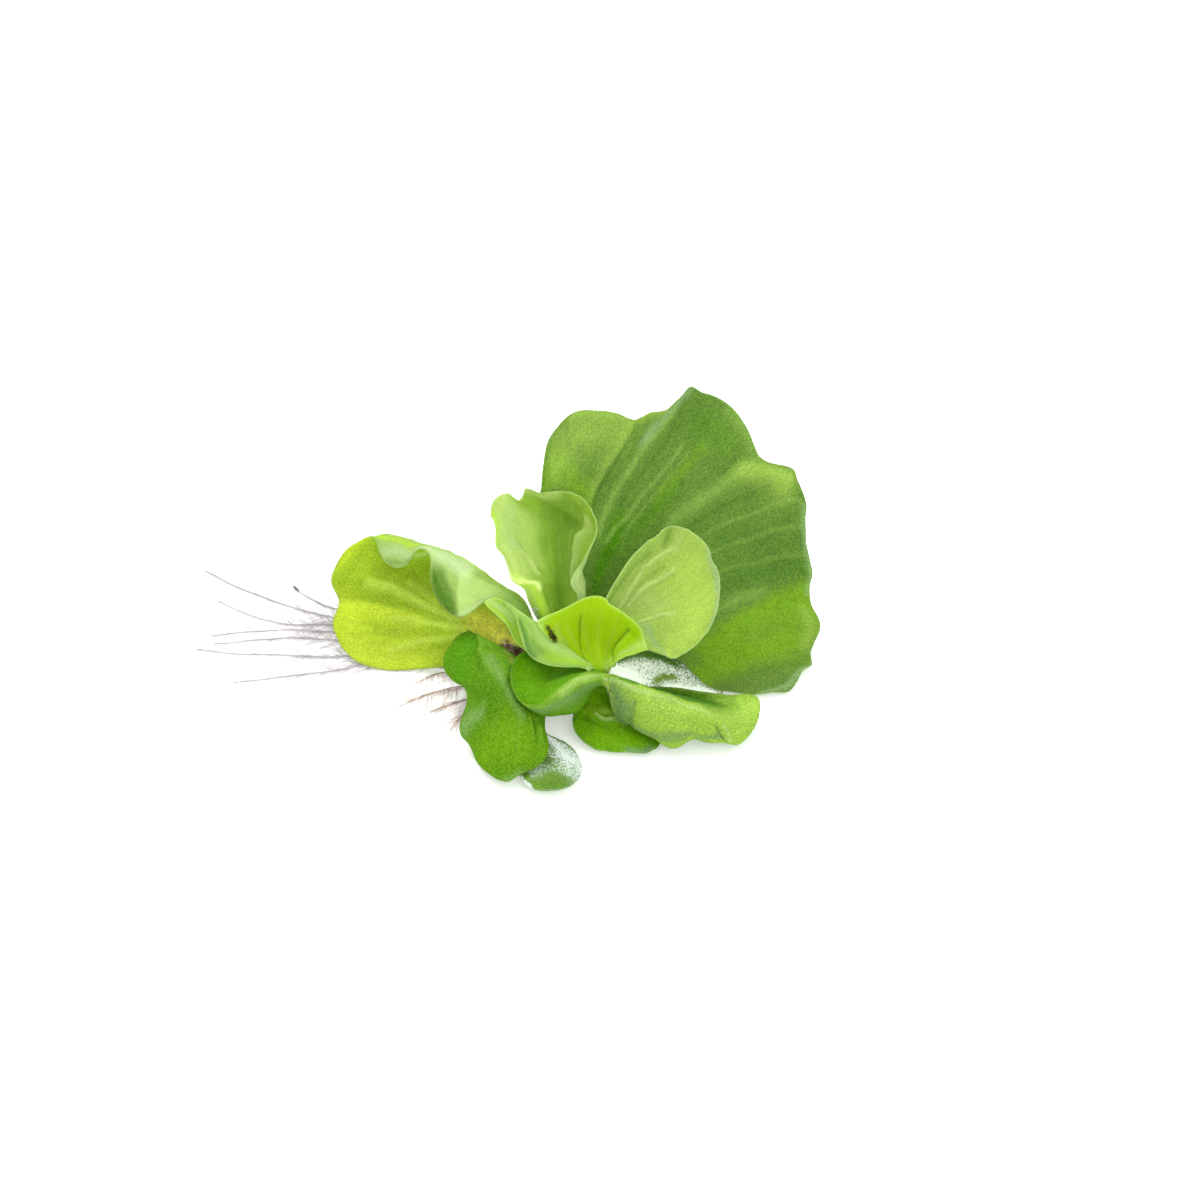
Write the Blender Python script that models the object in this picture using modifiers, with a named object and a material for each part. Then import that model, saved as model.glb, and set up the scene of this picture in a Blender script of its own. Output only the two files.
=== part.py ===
"""Water lettuce (Pistia stratiotes): a rosette pulled from the water and set down on a table.

Twelve leaves stand round a short crown, and thirteen main roots trail from it to the left.
Metres, +Z up. The table is z = 0. The origin is on the table, under the old end of the crown.
"""
import math

import bmesh
import bpy
import numpy as np

MM = 0.001

# Leaf points are drawn in millimetres as (right, up, near), measured from a point above the origin,
# in a frame that leans back from the upright. An eye in front of it sees them where they are drawn.
LEAN = math.radians(40)
DRAWING_HEIGHT = 8.0
EYE_DISTANCE = 700.0
EYE_AIM = (20.0, 12.5)

# A leaf is thickest at the middle of its foot and thins to its rim.
RIM_THICKNESS = 0.6
FLESHY_PART = 0.85          # of its length, beyond which it is as thin as its rim
FLESH_AT_SIDE = 0.35        # of the thickness in the middle
BLADE_STEPS = (0.2, 0.45, 0.72)
BLADE_HOLLOW = 0.6

# The crown is a lumpy stem: a middle line from the old end to the tip, and a girth along it.
CROWN_LINE = [(-5.0, -0.8, 6.2), (1.0, -1.0, 6.2), (7.0, -4.2, 7.6), (13.5, -8.6, 9.6), (21.5, -12.8, 11.3)]
CROWN_GIRTH = [4.4, 5.3, 4.5, 3.6, 3.0]
CROWN_TALLNESS = 1.12        # times its girth, above the middle line
CROWN_DEPTH = 1.9            # and below it, cut off flat at the table
CROWN_AROUND = 20
CROWN_RINGS = 14

ROOT_RADIUS = 0.42
ROOT_TIP_SHARE = 0.55
ROOT_STEPS = 12
ROOT_SINK = 0.35            # share of a root's length over which it comes down to the table

SKIN_ROUGHNESS = 0.55
CROWN_COLOUR = "6E5A33"
ROOT_COLOUR = "8A7E74"

# foot, half and curl give the row of points where a leaf joins the crown: its middle, half its
# width and how its ends turn. Each rib is a row of points across the leaf, and the rim is the last.
LEAVES = {
    # the largest, standing at the back right and facing forward
    "back": dict(
        colour="6F9F38", flesh=2.4, grid=(16, 11),
        foot=(15.5, -1.4, 5), half=(1.8, -0.6, 0.2), curl=(0, 0, 0),
        ribs=[
            [(14, 8, 0.5), (16.5, 9.5, -1.5), (20.5, 10.5, -3.5), (25, 9.5, -4.5), (28.5, 6.5, -4),
            (30, 3.5, -2), (29, 0.8, 1.5)],
            [(10.6, 22, -0.8), (17, 25, -2), (27, 26, -5.5), (38, 22, -8), (44, 13, -8.5),
            (45, 4, -5.5), (39.4, -2.4, 1)],
            [(7.3, 32, -0.6), (14, 39, -1.5), (27, 41, -4.5), (42, 42, -6.5), (53, 31, -9.5),
            (58, 12, -11), (57.5, -2, -6.5), (47, -9, 1.5)],
        ],
        rim=[
            (5.4, 40, 0.5), (6.2, 52, 0), (12, 59.4, -2), (20, 60.2, -1.5), (28, 57.6, 0.5),
            (34.5, 59.6, -1.5), (42.5, 65.6, -4), (51, 62.4, -6), (57.6, 54, -6), (62, 47.8, -7),
            (69.5, 44.4, -10), (71.8, 30, -11), (72.3, 15, -14.5), (75, 4, -15.4), (72.8, -4.2, -6),
            (67.8, -10.4, 0.7), (61, -11.5, 2), (54, -10.7, 2.2)
        ]),
    # young and pale, with ruffled sides and a notch in its top
    "inner_left": dict(
        colour="A4C562", flesh=1.6, grid=(10, 11),
        foot=(12.2, 0.3, 8.7), half=(1.8, 0.2, 0.2), curl=(0, 0, 0.3),
        ribs=[
            [(5, 8.3, 10.6), (7.1, 8.6, 11), (11, 8.8, 7), (13.4, 9.2, 8), (15, 9.4, 10),
            (14.2, 9.4, 11)],
            [(2.9, 12.6, 11.4), (5.9, 13.4, 12), (10, 14, 5.5), (13.5, 14.3, 6.5), (15.9, 14, 9.5),
            (14.4, 13.4, 11.5)],
            [(1.5, 15.2, 11.8), (5, 16.4, 12.2), (9.8, 16.6, 5), (13.2, 16.9, 6), (15.7, 16.8, 9.3),
            (12.7, 16.4, 12)],
            [(-1, 16.8, 12.4), (2.8, 17.8, 11.6), (9, 19.6, 4), (13.4, 20.1, 5.5), (15.3, 19.9, 9),
            (13.4, 18.9, 11)],
            [(-3, 21.3, 12), (1, 22, 8.5), (8.5, 22.8, 3.5), (14, 23, 5), (16, 22.5, 8.5),
            (15.6, 22, 10)],
            [(-5.9, 26.3, 10.5), (-1.5, 27.3, 7.5), (7.5, 28, 3), (14.2, 27.8, 4.5), (17.6, 27, 7.5),
            (18, 26.3, 9.5)],
            [(-6.6, 31, 9.5), (-2, 32, 6.5), (7, 32.5, 2.5), (14.2, 32, 4), (18.2, 30.5, 7),
            (19.2, 29.5, 9)],
        ],
        rim=[
            (-7.3, 33.3, 9), (-6.6, 36.6, 8.5), (-3.8, 38.9, 7.5), (-1.2, 38.4, 6.5), (0.2, 37.7, 5.5),
            (1.6, 40.2, 5.5), (5, 39.8, 4.5), (10.5, 39.7, 3.5), (14.4, 38.3, 4.5), (17.4, 35.6, 6.5),
            (19.2, 32.6, 8.5)
        ]),
    # young, pale and oval
    "inner_right": dict(
        colour="ABCB5E", flesh=1.6, grid=(10, 11),
        foot=(18, -1.6, 9.8), half=(1.2, -1, 0.4), curl=(0, 0, 0),
        ribs=[
            [(20.9, 11.5, 10), (22.6, 10, 8), (25, 7.5, 7), (26.8, 3.8, 8.5), (28, 0.8, 11)],
            [(24.2, 17.8, 9.5), (26.5, 15.5, 7), (29.5, 12, 5.5), (32, 8, 6.5), (33.5, 4.5, 8.5),
            (34.8, -1, 11)],
            [(28.6, 24, 7.5), (32.5, 21.5, 5.5), (37, 17.5, 4.5), (40, 12, 5.5), (41, 5.5, 8),
            (38.6, -2.2, 11)],
        ],
        rim=[
            (32.3, 27.1, 7), (34.6, 28.6, 6.5), (36, 30, 6), (39, 30.9, 6), (42.6, 30.4, 5.5),
            (46.2, 27, 5), (48.5, 23.4, 5), (49.6, 19, 5.5), (49.9, 14.5, 6.5), (49, 8.8, 8.5),
            (46.3, 3.5, 9.5), (42.7, 0.3, 10.5)
        ]),
    # the youngest: a bright hood in the middle
    "heart": dict(
        colour="9CC417", flesh=1.3, grid=(10, 11),
        foot=(20.7, -5.3, 14.2), half=(1.4, -0.4, 0.2), curl=(0, 0, 0.4),
        ribs=[
            [(12.6, 1.2, 14.8), (14.8, 1.4, 13), (18.8, 1.6, 11.8), (23.5, 0.6, 13.5), (26.7, -1.9, 17)],
        ],
        rim=[
            (5.7, 7.1, 19), (9.5, 10.2, 17), (13.3, 12, 15.5), (17, 13.1, 14.5), (20.4, 12.8, 14.5),
            (22.2, 10.9, 14.5), (25.8, 9.2, 15.5), (28.8, 7.2, 17), (31, 4.2, 18.5), (32.3, -0.2, 20)
        ]),
    # narrow, rolled lengthwise with its slit to the left
    "folded": dict(
        colour="B2CF8A", flesh=1.0, grid=(10, 11),
        foot=(17.4, -4.2, 15.4), half=(-0.1, -0.9, 0.9), curl=(-0.3, 0.2, 0.3),
        ribs=[
            [(11, -3.4, 16.2), (11.6, -1.8, 15.4), (12.8, -0.4, 15.9), (12.2, -2.5, 18.1),
            (11.2, -4.1, 18.6)],
            [(3, -1, 13.5), (3.8, 2, 12.5), (6.2, 5.2, 13.5), (5.4, 1.5, 18), (4.6, -1.6, 18.5)],
            [(-0.8, 1.8, 12.5), (-0.8, 5, 11.5), (1.5, 8.5, 12.5), (1.8, 5.5, 16.5), (1.5, 1.4, 17)],
            [(-3.4, 6.3, 12), (-3.4, 8.8, 11), (-2.5, 11.2, 12), (-1.4, 10, 15), (-0.8, 8.2, 15.5)],
        ],
        rim=[
            (-8.5, 11.2, 11), (-8.6, 12.2, 10.5), (-6.5, 13, 11), (-4.6, 12.4, 12.5), (-3.4, 11.2, 13.5)
        ]),
    # old and yellowing, with its upper side rolled over forward
    "left": dict(
        colour="AEC92B", flesh=2.0, grid=(12, 12),
        foot=(3, 2.4, 5.8), half=(1.2, 1.1, 0.2), curl=(0, 0, 0),
        ribs=[
            [(-3, -0.6, 4.2), (-3.8, 1.8, 3.2), (-3.6, 5, 2.2), (-2, 8.6, 1.2), (-0.2, 11, 0.5),
            (1.8, 11.6, 3), (1.4, 9.5, 5.5), (0, 7.5, 6.5)],
            [(-10, -3, 1), (-11, 0, 0), (-11.5, 4, -1), (-10.5, 9, -2), (-8, 13.6, -1.5),
            (-4.4, 15.4, 2), (-6, 13.8, 6), (-8.8, 11.8, 7)],
            [(-19, -4.2, -3), (-19.5, 0.5, -4), (-20, 6, -5), (-19, 13, -6), (-16.5, 19, -6),
            (-12.6, 21.4, -1), (-14, 16, 4.5), (-16.8, 8.8, 5)],
            [(-27, -4.9, -5.5), (-27, 1.5, -6.5), (-27.5, 8, -8), (-26.5, 16, -9), (-23, 22.4, -9),
            (-18.5, 24.6, -4), (-19.5, 22, 0.5), (-22, 17.5, 1)],
            [(-31.5, -5.1, -5.7), (-32, 2, -7.5), (-32.5, 9, -9.5), (-31.5, 18, -10.5),
            (-28.5, 24, -10), (-23.8, 26.2, -6), (-23.4, 26, -3.5), (-24.4, 25.2, -2)],
            [(-36, -4.6, -6.2), (-37.5, 2.5, -8.5), (-37.5, 10.5, -10.5), (-37, 19.5, -11.5),
            (-34, 25, -11), (-29.5, 28, -7.5), (-29.3, 25, -4), (-30, 21, -4)],
            [(-41, -2.8, -6.8), (-42.5, 3, -9.5), (-42, 11.5, -10.5), (-42.5, 20, -11.5),
            (-39.5, 25.8, -11), (-33.3, 28.7, -8.5), (-33.8, 27, -6), (-34.6, 24, -6)],
        ],
        rim=[
            (-44.7, 0.8, -8.5), (-46.8, 6.5, -9.5), (-45.2, 12.2, -10), (-47.2, 17.6, -11.5),
            (-44, 24.5, -11), (-39.3, 27.7, -10), (-37.5, 28.4, -9.5), (-35.5, 28.5, -9)
        ]),
    # lobed, humped, and drooping to the table
    "front_left": dict(
        colour="649A2C", flesh=1.8, grid=(10, 11),
        foot=(1, -3.4, 7.6), half=(-2.2, 1.3, 0), curl=(0, 0, -1),
        ribs=[
            [(3.2, -6.5, 9.5), (1.6, -7.5, 13), (-1.5, -7, 14.5), (-3.8, -4.7, 13.5), (-4.6, -2.5, 11),
            (-4.4, -0.8, 8), (-3.5, 0.1, 6)],
            [(4.5, -10.5, 12), (2.5, -13, 17.5), (-1.5, -13.5, 19.5), (-6, -9.5, 18),
            (-9.5, -5.5, 13.5), (-10.4, -1.4, 9), (-7.9, 2.1, 4.6)],
            [(5.4, -13.5, 14.5), (4, -20, 21.5), (-2, -21.5, 23.2), (-8.5, -16, 20.5),
            (-11, -10.5, 15.5), (-14.6, -3.5, 8.5), (-11.4, 4.2, 3.4)],
        ],
        rim=[
            (5.8, -16.5, 17), (6.4, -21, 20.3), (6.9, -24.2, 22.6), (5.6, -27.6, 25.2),
            (1.2, -30.9, 27.2), (-3.5, -33.2, 28.2), (-8, -30.8, 25.2), (-10.6, -28.2, 23.2),
            (-12.2, -23.8, 20.3), (-14.8, -20.4, 18.6), (-13.6, -15, 14.6), (-13.5, -11.2, 11.8),
            (-16.4, -7.9, 7.8), (-19, -3.9, 4), (-18.4, 0, 2.4), (-15.8, 3.4, 2), (-13.2, 5, 2.6)
        ]),
    # an older leaf lying under the one before
    "low_left": dict(
        colour="93B38C", flesh=1.4, grid=(10, 11),
        foot=(6.2, -9.4, 4), half=(1.4, -0.3, 0), curl=(0, 0, 0),
        ribs=[
            [(6, -14.5, 7.6), (4.4, -14.8, 8), (2.8, -14.8, 8), (1.2, -14.5, 7.8), (0, -14.2, 7.4)],
            [(6.4, -20.3, 13.3), (4.4, -20.8, 14), (2.2, -21, 14.3), (0.2, -20.8, 14), (-1.4, -20.2, 13.2)],
        ],
        rim=[
            (8.6, -22, 15), (11.3, -23.2, 16.6), (13.5, -25, 18.8), (15.3, -28.6, 22.9), (14.6, -32, 26.6),
            (11, -34.6, 29.7), (6, -35.2, 30.3), (2, -34.3, 29.3), (-0.4, -31.4, 25.9), (-1, -26.5, 20.2)
        ]),
    # short and cupped, open to the left
    "scoop": dict(
        colour="4F8A16", flesh=1.6, grid=(10, 11),
        foot=(19.2, -7.4, 14.2), half=(-0.6, 1.1, -0.2), curl=(0, 0, 0),
        ribs=[
            [(18, -10.7, 14.5), (16.3, -9.2, 17.5), (14.8, -7.1, 19), (14.3, -5.6, 15),
            (13.8, -4.2, 12.8), (13.5, -2.9, 12)],
            [(14.3, -15.3, 17), (12.5, -12, 21), (10.8, -9, 22), (9.3, -6.5, 15), (8.3, -3.8, 11.5),
            (8, -1.7, 10)],
            [(9.8, -16.3, 19), (9, -13.8, 22.5), (7.5, -11, 23.5), (5.8, -7.8, 16.5), (4.5, -3.4, 12),
            (4.3, -0.7, 9.9)],
            [(6.3, -16.5, 20), (5.3, -15, 22.5), (4.3, -13, 23), (2.3, -9.5, 18.5), (1, -4.6, 13.5),
            (1.2, -0.3, 10.8)],
        ],
        rim=[
            (3, -15.5, 21), (1, -14.3, 22), (-0.8, -12.3, 21.5), (-2.2, -8.5, 19), (-2.2, -4.9, 15.8),
            (-0.6, -1.3, 12.2)
        ]),
    # long, with its near side turned up and over
    "front_right": dict(
        colour="8DB24A", flesh=1.8, grid=(10, 11),
        foot=(21.4, -7.8, 13.2), half=(-0.2, -1.1, 0.3), curl=(0, 0, 0.3),
        ribs=[
            [(25.5, -7.8, 8), (25, -8.3, 8), (23.8, -6.9, 17), (23.3, -9.5, 17), (23.2, -12.5, 15.2),
            (23.4, -16, 12.4)],
            [(31.3, -9.3, 5), (30.5, -10, 5), (29, -8.8, 20), (27.5, -12, 21), (26.5, -15.5, 19),
            (26.6, -18.3, 15.5)],
            [(36.3, -9.4, 4), (37, -11, 4), (34, -10.6, 22), (32.5, -14.3, 23.5), (31.3, -18, 22),
            (30.8, -21.6, 18.5)],
            [(42.5, -10, 4), (43.5, -12.3, 5), (40, -12.9, 22.5), (39, -16.5, 24), (38.5, -20.3, 23),
            (38, -24.2, 20)],
            [(47.5, -10.6, 5), (48.5, -13.5, 6.5), (45, -14.6, 21.5), (44.5, -17.5, 23),
            (44.3, -20, 22), (44, -22.3, 19.5)],
            [(52, -10.9, 6.5), (52.3, -14.5, 9), (49, -17, 20), (49, -19.3, 21), (49, -21.3, 20.5),
            (48.8, -23.4, 19)],
            [(54.5, -10.6, 8), (55.5, -15.5, 11), (52.5, -18.8, 17.5), (52.8, -21, 18.5),
            (52.8, -22.5, 19), (52.5, -23.8, 18)],
        ],
        rim=[
            (57.8, -10.8, 8), (59.8, -13, 8), (59.5, -17, 11.5), (57.5, -20.5, 14.5),
            (55.5, -22.5, 16.5), (54, -23.5, 16)
        ]),
    # dark, lying under the two front leaves
    "low_front": dict(
        colour="4E8A1A", flesh=1.2, grid=(10, 11),
        foot=(16.4, -10.2, 8.6), half=(-2.4, -0.2, 0), curl=(0, 0, 0),
        ribs=[
            [(24.2, -10.6, 7), (21.5, -11.6, 8.6), (18, -12.2, 9.4), (15, -12.4, 9.2), (13.4, -12.4, 8.8)],
            [(30, -15.6, 8.8), (25.5, -17.3, 11.8), (20.5, -18, 13.4), (16, -17.2, 13), (13.2, -15.4, 11)],
        ],
        rim=[
            (36, -21, 14.1), (34.3, -24.3, 17.6), (31.3, -26, 19), (27.5, -25.8, 18.7),
            (22.5, -25.3, 18.5), (18, -24.3, 18.1), (14.5, -21.8, 16.6), (13, -18.5, 14.3),
            (13.6, -15.8, 12)
        ]),
    # silvery, lying under the big leaf
    "low_right": dict(
        colour="C2D2BC", flesh=1.0, grid=(10, 11),
        foot=(17.6, -4.9, 6.2), half=(0.4, -0.9, 0), curl=(0, 0, 0),
        ribs=[
            [(24.5, -2.4, 1.8), (24.8, -5, 1), (25.2, -8.5, 1.4)],
            [(32.2, -0.8, -2.8), (32.8, -5.2, -2.6), (33.5, -10.4, 1)],
            [(40.5, -2.6, -4.2), (41, -6.6, -2.8), (41.2, -11, 1.5)],
        ],
        rim=[
            (45.6, -5.2, -3.6), (49, -8, -1.6), (50.8, -10.2, 0.5), (49, -11.4, 1.9), (46.5, -11.8, 2.4)
        ]),
}

# Each root leaves the crown at a point (x, y, z) and then follows points (x, y) on the table.
ROOTS = [
    ((-3.8, 5.0, 3.0), [(-10, 9), (-22, 14.5), (-35, 18.5), (-47, 21.2), (-55.4, 24), (-64, 28), (-74, 33.6),
                        (-84, 40.7)]),
    ((-4.9, 3.9, 2.6), [(-14, 8.8), (-26, 13.5), (-38, 17), (-49.5, 18.8), (-58.7, 18.9), (-66.5, 20.8),
                        (-72.5, 24), (-79, 28)]),
    ((-5.6, 2.4, 2.2), [(-15, 6.6), (-27, 11), (-38, 14.4), (-48, 16.1), (-59.5, 16.7), (-69.6, 16.1),
                        (-79.2, 14.5)]),
    ((-5.9, 0.9, 1.9), [(-16, 4.8), (-28, 8.6), (-38, 11), (-47.6, 12.6), (-58.2, 13.9), (-68, 12.6),
                        (-78.4, 11.4)]),
    ((-6.0, -0.6, 1.6), [(-17, 3), (-28, 5.6), (-37, 6.6), (-46.4, 6.2), (-53.5, 6.4), (-63, 7.1),
                         (-72.6, 7.5), (-82.4, 9.1)]),
    ((-5.9, -2.0, 1.4), [(-17, 1), (-28, 3.6), (-36, 4.3), (-41.5, 3), (-46.8, 1), (-55.2, -0.5),
                         (-62.9, -2), (-71.8, -3.5)]),
    ((-2.4, 5.9, 3.4), [(-9, 11.5), (-20, 17.4), (-33, 21.8), (-44, 24.2), (-49.7, 25.6), (-53.9, 28.2),
                        (-57.8, 31.6), (-60.2, 34.5)]),
    ((-5.6, -3.6, 1.2), [(-11, -1.9), (-16, -0.3), (-20, 0.3), (-23, -1.1), (-26.5, -3.8)]),
    ((-4.8, -5.0, 1.2), [(-10, -4.8), (-16.5, -5), (-22.5, -7.5), (-30, -12.5)]),
    ((-3.4, -6.2, 1.2), [(-7.5, -7.8), (-12, -9), (-17, -11.4), (-22, -14.6)]),
    ((-1.8, -7.0, 1.2), [(-7, -10.5), (-12, -13.5), (-15.5, -17.5), (-17, -21.5)]),
    ((-0.8, 6.0, 3.0), [(-5, 14), (-13, 23), (-24, 31), (-36, 37)]),
    ((1.0, 5.8, 3.0), [(1, 13), (-2, 22), (-9, 30), (-20, 36)]),
]


def linear(hex_colour):
    """Turn an sRGB hex colour into the linear RGBA that a shader takes."""
    channels = [int(hex_colour[i:i + 2], 16) / 255 for i in (0, 2, 4)]
    return [c / 12.92 if c <= 0.04045 else ((c + 0.055) / 1.055) ** 2.4 for c in channels] + [1.0]


def skin(name, hex_colour):
    material = bpy.data.materials.new(name)
    material.use_nodes = True
    shader = material.node_tree.nodes["Principled BSDF"]
    shader.inputs["Base Color"].default_value = linear(hex_colour)
    shader.inputs["Roughness"].default_value = SKIN_ROUGHNESS
    shader.inputs["Metallic"].default_value = 0.0
    return material


def smooth(points, at):
    """Read a smooth curve through points, a Catmull-Rom spline, at places 0 ... len(points) - 1."""
    points = np.asarray(points, float)
    last = len(points) - 1
    padded = np.concatenate([[2 * points[0] - points[1]], points, [2 * points[-1] - points[-2]]])
    at = np.clip(np.asarray(at, float), 0, last)
    start = np.minimum(at.astype(int), last - 1)
    f = (at - start).reshape((-1,) + (1,) * (points.ndim - 1))
    a, b, c, d = (padded[start + k] for k in range(4))
    return 0.5 * (2 * b + (c - a) * f + (2 * a - 5 * b + 4 * c - d) * f**2 + (3 * b - 3 * c + d - a) * f**3)


def stand_up(drawn):
    """Move drawn points (right, up, near) to where they are in the world, in metres."""
    drawn = np.asarray(drawn, float)
    near = drawn[..., 2]
    shrink = 1 - near / EYE_DISTANCE
    right = EYE_AIM[0] + (drawn[..., 0] - EYE_AIM[0]) * shrink
    up = EYE_AIM[1] + (drawn[..., 1] - EYE_AIM[1]) * shrink
    back = up * math.sin(LEAN) - near * math.cos(LEAN)
    height = DRAWING_HEIGHT + up * math.cos(LEAN) + near * math.sin(LEAN)
    return np.stack([right, back, height], -1) * MM


def leaf_rows(leaf):
    """All rows of a leaf's drawn points, foot first and rim last, with equal counts."""
    rim = np.array(leaf["rim"], float)
    across = np.linspace(-1, 1, len(rim))[:, None]
    foot = np.array(leaf["foot"]) + across * leaf["half"] + across**2 * leaf["curl"]
    if "ribs" in leaf:
        ribs = [smooth(rib, np.linspace(0, len(rib) - 1, len(rim))) for rib in leaf["ribs"]]
    else:
        hollow = np.cos(across * math.pi / 2).clip(0) ** BLADE_HOLLOW * (0, 0, leaf["dip"])
        ribs = [foot + (rim - foot) * f - hollow * 4 * f * (1 - f) for f in BLADE_STEPS]
    return np.array([foot, *ribs, rim])


def leaf_sheet(leaf, columns, rows):
    """The leaf's middle surface, as (rows + 1) x (columns + 1) points evenly spaced along it."""
    net = leaf_rows(leaf)
    net = smooth(net.swapaxes(0, 1), np.linspace(0, net.shape[1] - 1, columns + 1)).swapaxes(0, 1)
    steps = np.linalg.norm(np.diff(net.mean(1), axis=0), axis=1)
    length = np.concatenate([[0], np.cumsum(steps)])
    at = np.interp(np.linspace(0, length[-1], rows + 1), length, np.arange(len(net)))
    return stand_up(smooth(net, at))


def flesh(across, along):
    """How thick a leaf is, from 0 at its rim to 1 at its foot's middle; across is -1 to 1, along 0 to 1."""
    return max(0.0, 1 - along / FLESHY_PART) * (1 - (1 - FLESH_AT_SIDE) * across**2)


def add_object(name, data, material, collection):
    data.materials.append(material)
    thing = bpy.data.objects.new(name, data)
    collection.objects.link(thing)
    return thing


def make_leaf(name, leaf, collection):
    columns, rows = leaf["grid"]
    sheet = leaf_sheet(leaf, columns, rows)
    grid = bmesh.new()
    bmesh.ops.create_grid(grid, x_segments=columns, y_segments=rows, size=1)
    weights = {}
    for vert in grid.verts:
        across, along = vert.co.x, (vert.co.y + 1) / 2
        column, row = round((across + 1) / 2 * columns), round(along * rows)
        vert.co = sheet[row, column]
        weights[vert.index] = flesh(across, along)
    mesh = bpy.data.meshes.new(name)
    grid.to_mesh(mesh)
    grid.free()
    mesh.shade_smooth()
    blade = add_object(name, mesh, skin(name, leaf["colour"]), collection)
    group = blade.vertex_groups.new(name="flesh")
    for index, weight in weights.items():
        group.add([index], weight, "REPLACE")
    solidify = blade.modifiers.new("thickness", "SOLIDIFY")
    solidify.thickness = leaf["flesh"] * MM
    solidify.offset = 0
    solidify.use_quality_normals = True
    solidify.vertex_group = group.name
    solidify.thickness_vertex_group = RIM_THICKNESS / leaf["flesh"]
    return blade


def crown_point(unit):
    """Where a point of a unit ball lies on the crown, in metres; the ball's X runs along the crown."""
    at = (unit.x + 1) / 2 * (len(CROWN_LINE) - 1)
    middle = smooth(CROWN_LINE, [at])[0]
    girth = smooth(CROWN_GIRTH, [at])[0] * math.sqrt(1 + unit.x**2)
    beside = middle[1] + unit.y * girth
    above = middle[2] + unit.z * girth * (CROWN_TALLNESS if unit.z > 0 else CROWN_DEPTH)
    return middle[0] * MM, beside * MM, max(above, 0.0) * MM


def make_crown(collection):
    ball = bmesh.new()
    bmesh.ops.create_uvsphere(ball, u_segments=CROWN_AROUND, v_segments=CROWN_RINGS, radius=1)
    for vert in ball.verts:
        turned = vert.co.zyx
        turned.x = -turned.x
        vert.co = crown_point(turned)
    mesh = bpy.data.meshes.new("crown")
    ball.to_mesh(mesh)
    ball.free()
    mesh.shade_smooth()
    return add_object("crown", mesh, skin("crown", CROWN_COLOUR), collection)


def make_root(name, start, route, collection):
    """A tapering tube that comes down from the crown and lies along the table."""
    flat = smooth([start[:2], *route], np.linspace(0, len(route), ROOT_STEPS + 1))
    curve = bpy.data.curves.new(name, "CURVE")
    curve.dimensions = "3D"
    curve.bevel_depth = ROOT_RADIUS * MM
    curve.bevel_resolution = 2
    curve.use_fill_caps = True
    spline = curve.splines.new("POLY")
    spline.points.add(ROOT_STEPS)
    for step, point in enumerate(spline.points):
        along = step / ROOT_STEPS
        radius = ROOT_RADIUS * (1 - (1 - ROOT_TIP_SHARE) * along)
        lift = (start[2] - radius) * max(0.0, 1 - along / ROOT_SINK) ** 2
        x, y = flat[step]
        point.co = (x * MM, y * MM, (radius + lift) * MM, 1)
        point.radius = radius / ROOT_RADIUS
    return add_object(name, curve, skin(name, ROOT_COLOUR), collection)


def main():
    for old in list(bpy.data.objects):
        bpy.data.objects.remove(old, do_unlink=True)
    plant = bpy.data.collections.new("water_lettuce")
    bpy.context.scene.collection.children.link(plant)
    make_crown(plant)
    for name, leaf in LEAVES.items():
        make_leaf(f"leaf_{name}", leaf, plant)
    for number, (start, route) in enumerate(ROOTS, 1):
        make_root(f"root_{number:02d}", start, route, plant)


main()
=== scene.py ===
"""Water lettuce (Pistia stratiotes): the looks of a rosette pulled from the water, on a white table.

Every leaf is made again from the points that its solid is drawn from, as a fine closed sheet with its
pleats, nerves, puckers and round rim. The crown gets its scars and hairs, and each root its side roots.
Lengths are in millimetres up to the point where a mesh is made, and colours are sRGB hex values.
"""
import math

import bpy
import numpy as np
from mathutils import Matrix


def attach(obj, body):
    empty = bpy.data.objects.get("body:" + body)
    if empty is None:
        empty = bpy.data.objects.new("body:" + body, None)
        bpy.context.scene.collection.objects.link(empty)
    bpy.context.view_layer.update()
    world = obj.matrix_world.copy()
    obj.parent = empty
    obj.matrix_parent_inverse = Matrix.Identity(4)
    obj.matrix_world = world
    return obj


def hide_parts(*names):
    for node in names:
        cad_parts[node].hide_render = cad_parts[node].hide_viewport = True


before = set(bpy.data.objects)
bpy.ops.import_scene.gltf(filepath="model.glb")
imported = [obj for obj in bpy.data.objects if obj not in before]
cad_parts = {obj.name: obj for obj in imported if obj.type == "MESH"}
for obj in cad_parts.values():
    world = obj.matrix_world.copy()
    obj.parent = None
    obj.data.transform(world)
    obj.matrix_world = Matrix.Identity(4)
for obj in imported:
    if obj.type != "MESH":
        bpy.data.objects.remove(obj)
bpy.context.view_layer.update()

MM = 0.001
BODY = "root"

# The photograph: 1200 x 1200 pixels, a quarter of a millimetre each, seen from 40 degrees above.
LEAN = math.radians(40)
DRAWING_HEIGHT = 8.0        # mm over the table, of the drawing's origin
EYE_DISTANCE = 700.0
EYE_AIM = (20.0, 12.5)      # the middle of the photograph, in the drawing
PHOTO_WIDTH = 300.0         # what 1200 pixels span at the aim, in mm
PIXEL = 0.25                # mm
DRAWING_ORIGIN = (520, 650)     # the pixel where drawn points start from
SENSOR = 36.0               # mm, as wide as a full-frame camera's

# How finely the leaves are made.
CELL = 0.5                  # mm between lines of a leaf's mesh
BIG_CELL = 0.55             # for the largest leaf
COARSE = 30                 # lines each way of the rough leaf that is measured first
RIM_LINES = (0.12, 0.3, 0.6)    # mm from the rim where more lines run

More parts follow.
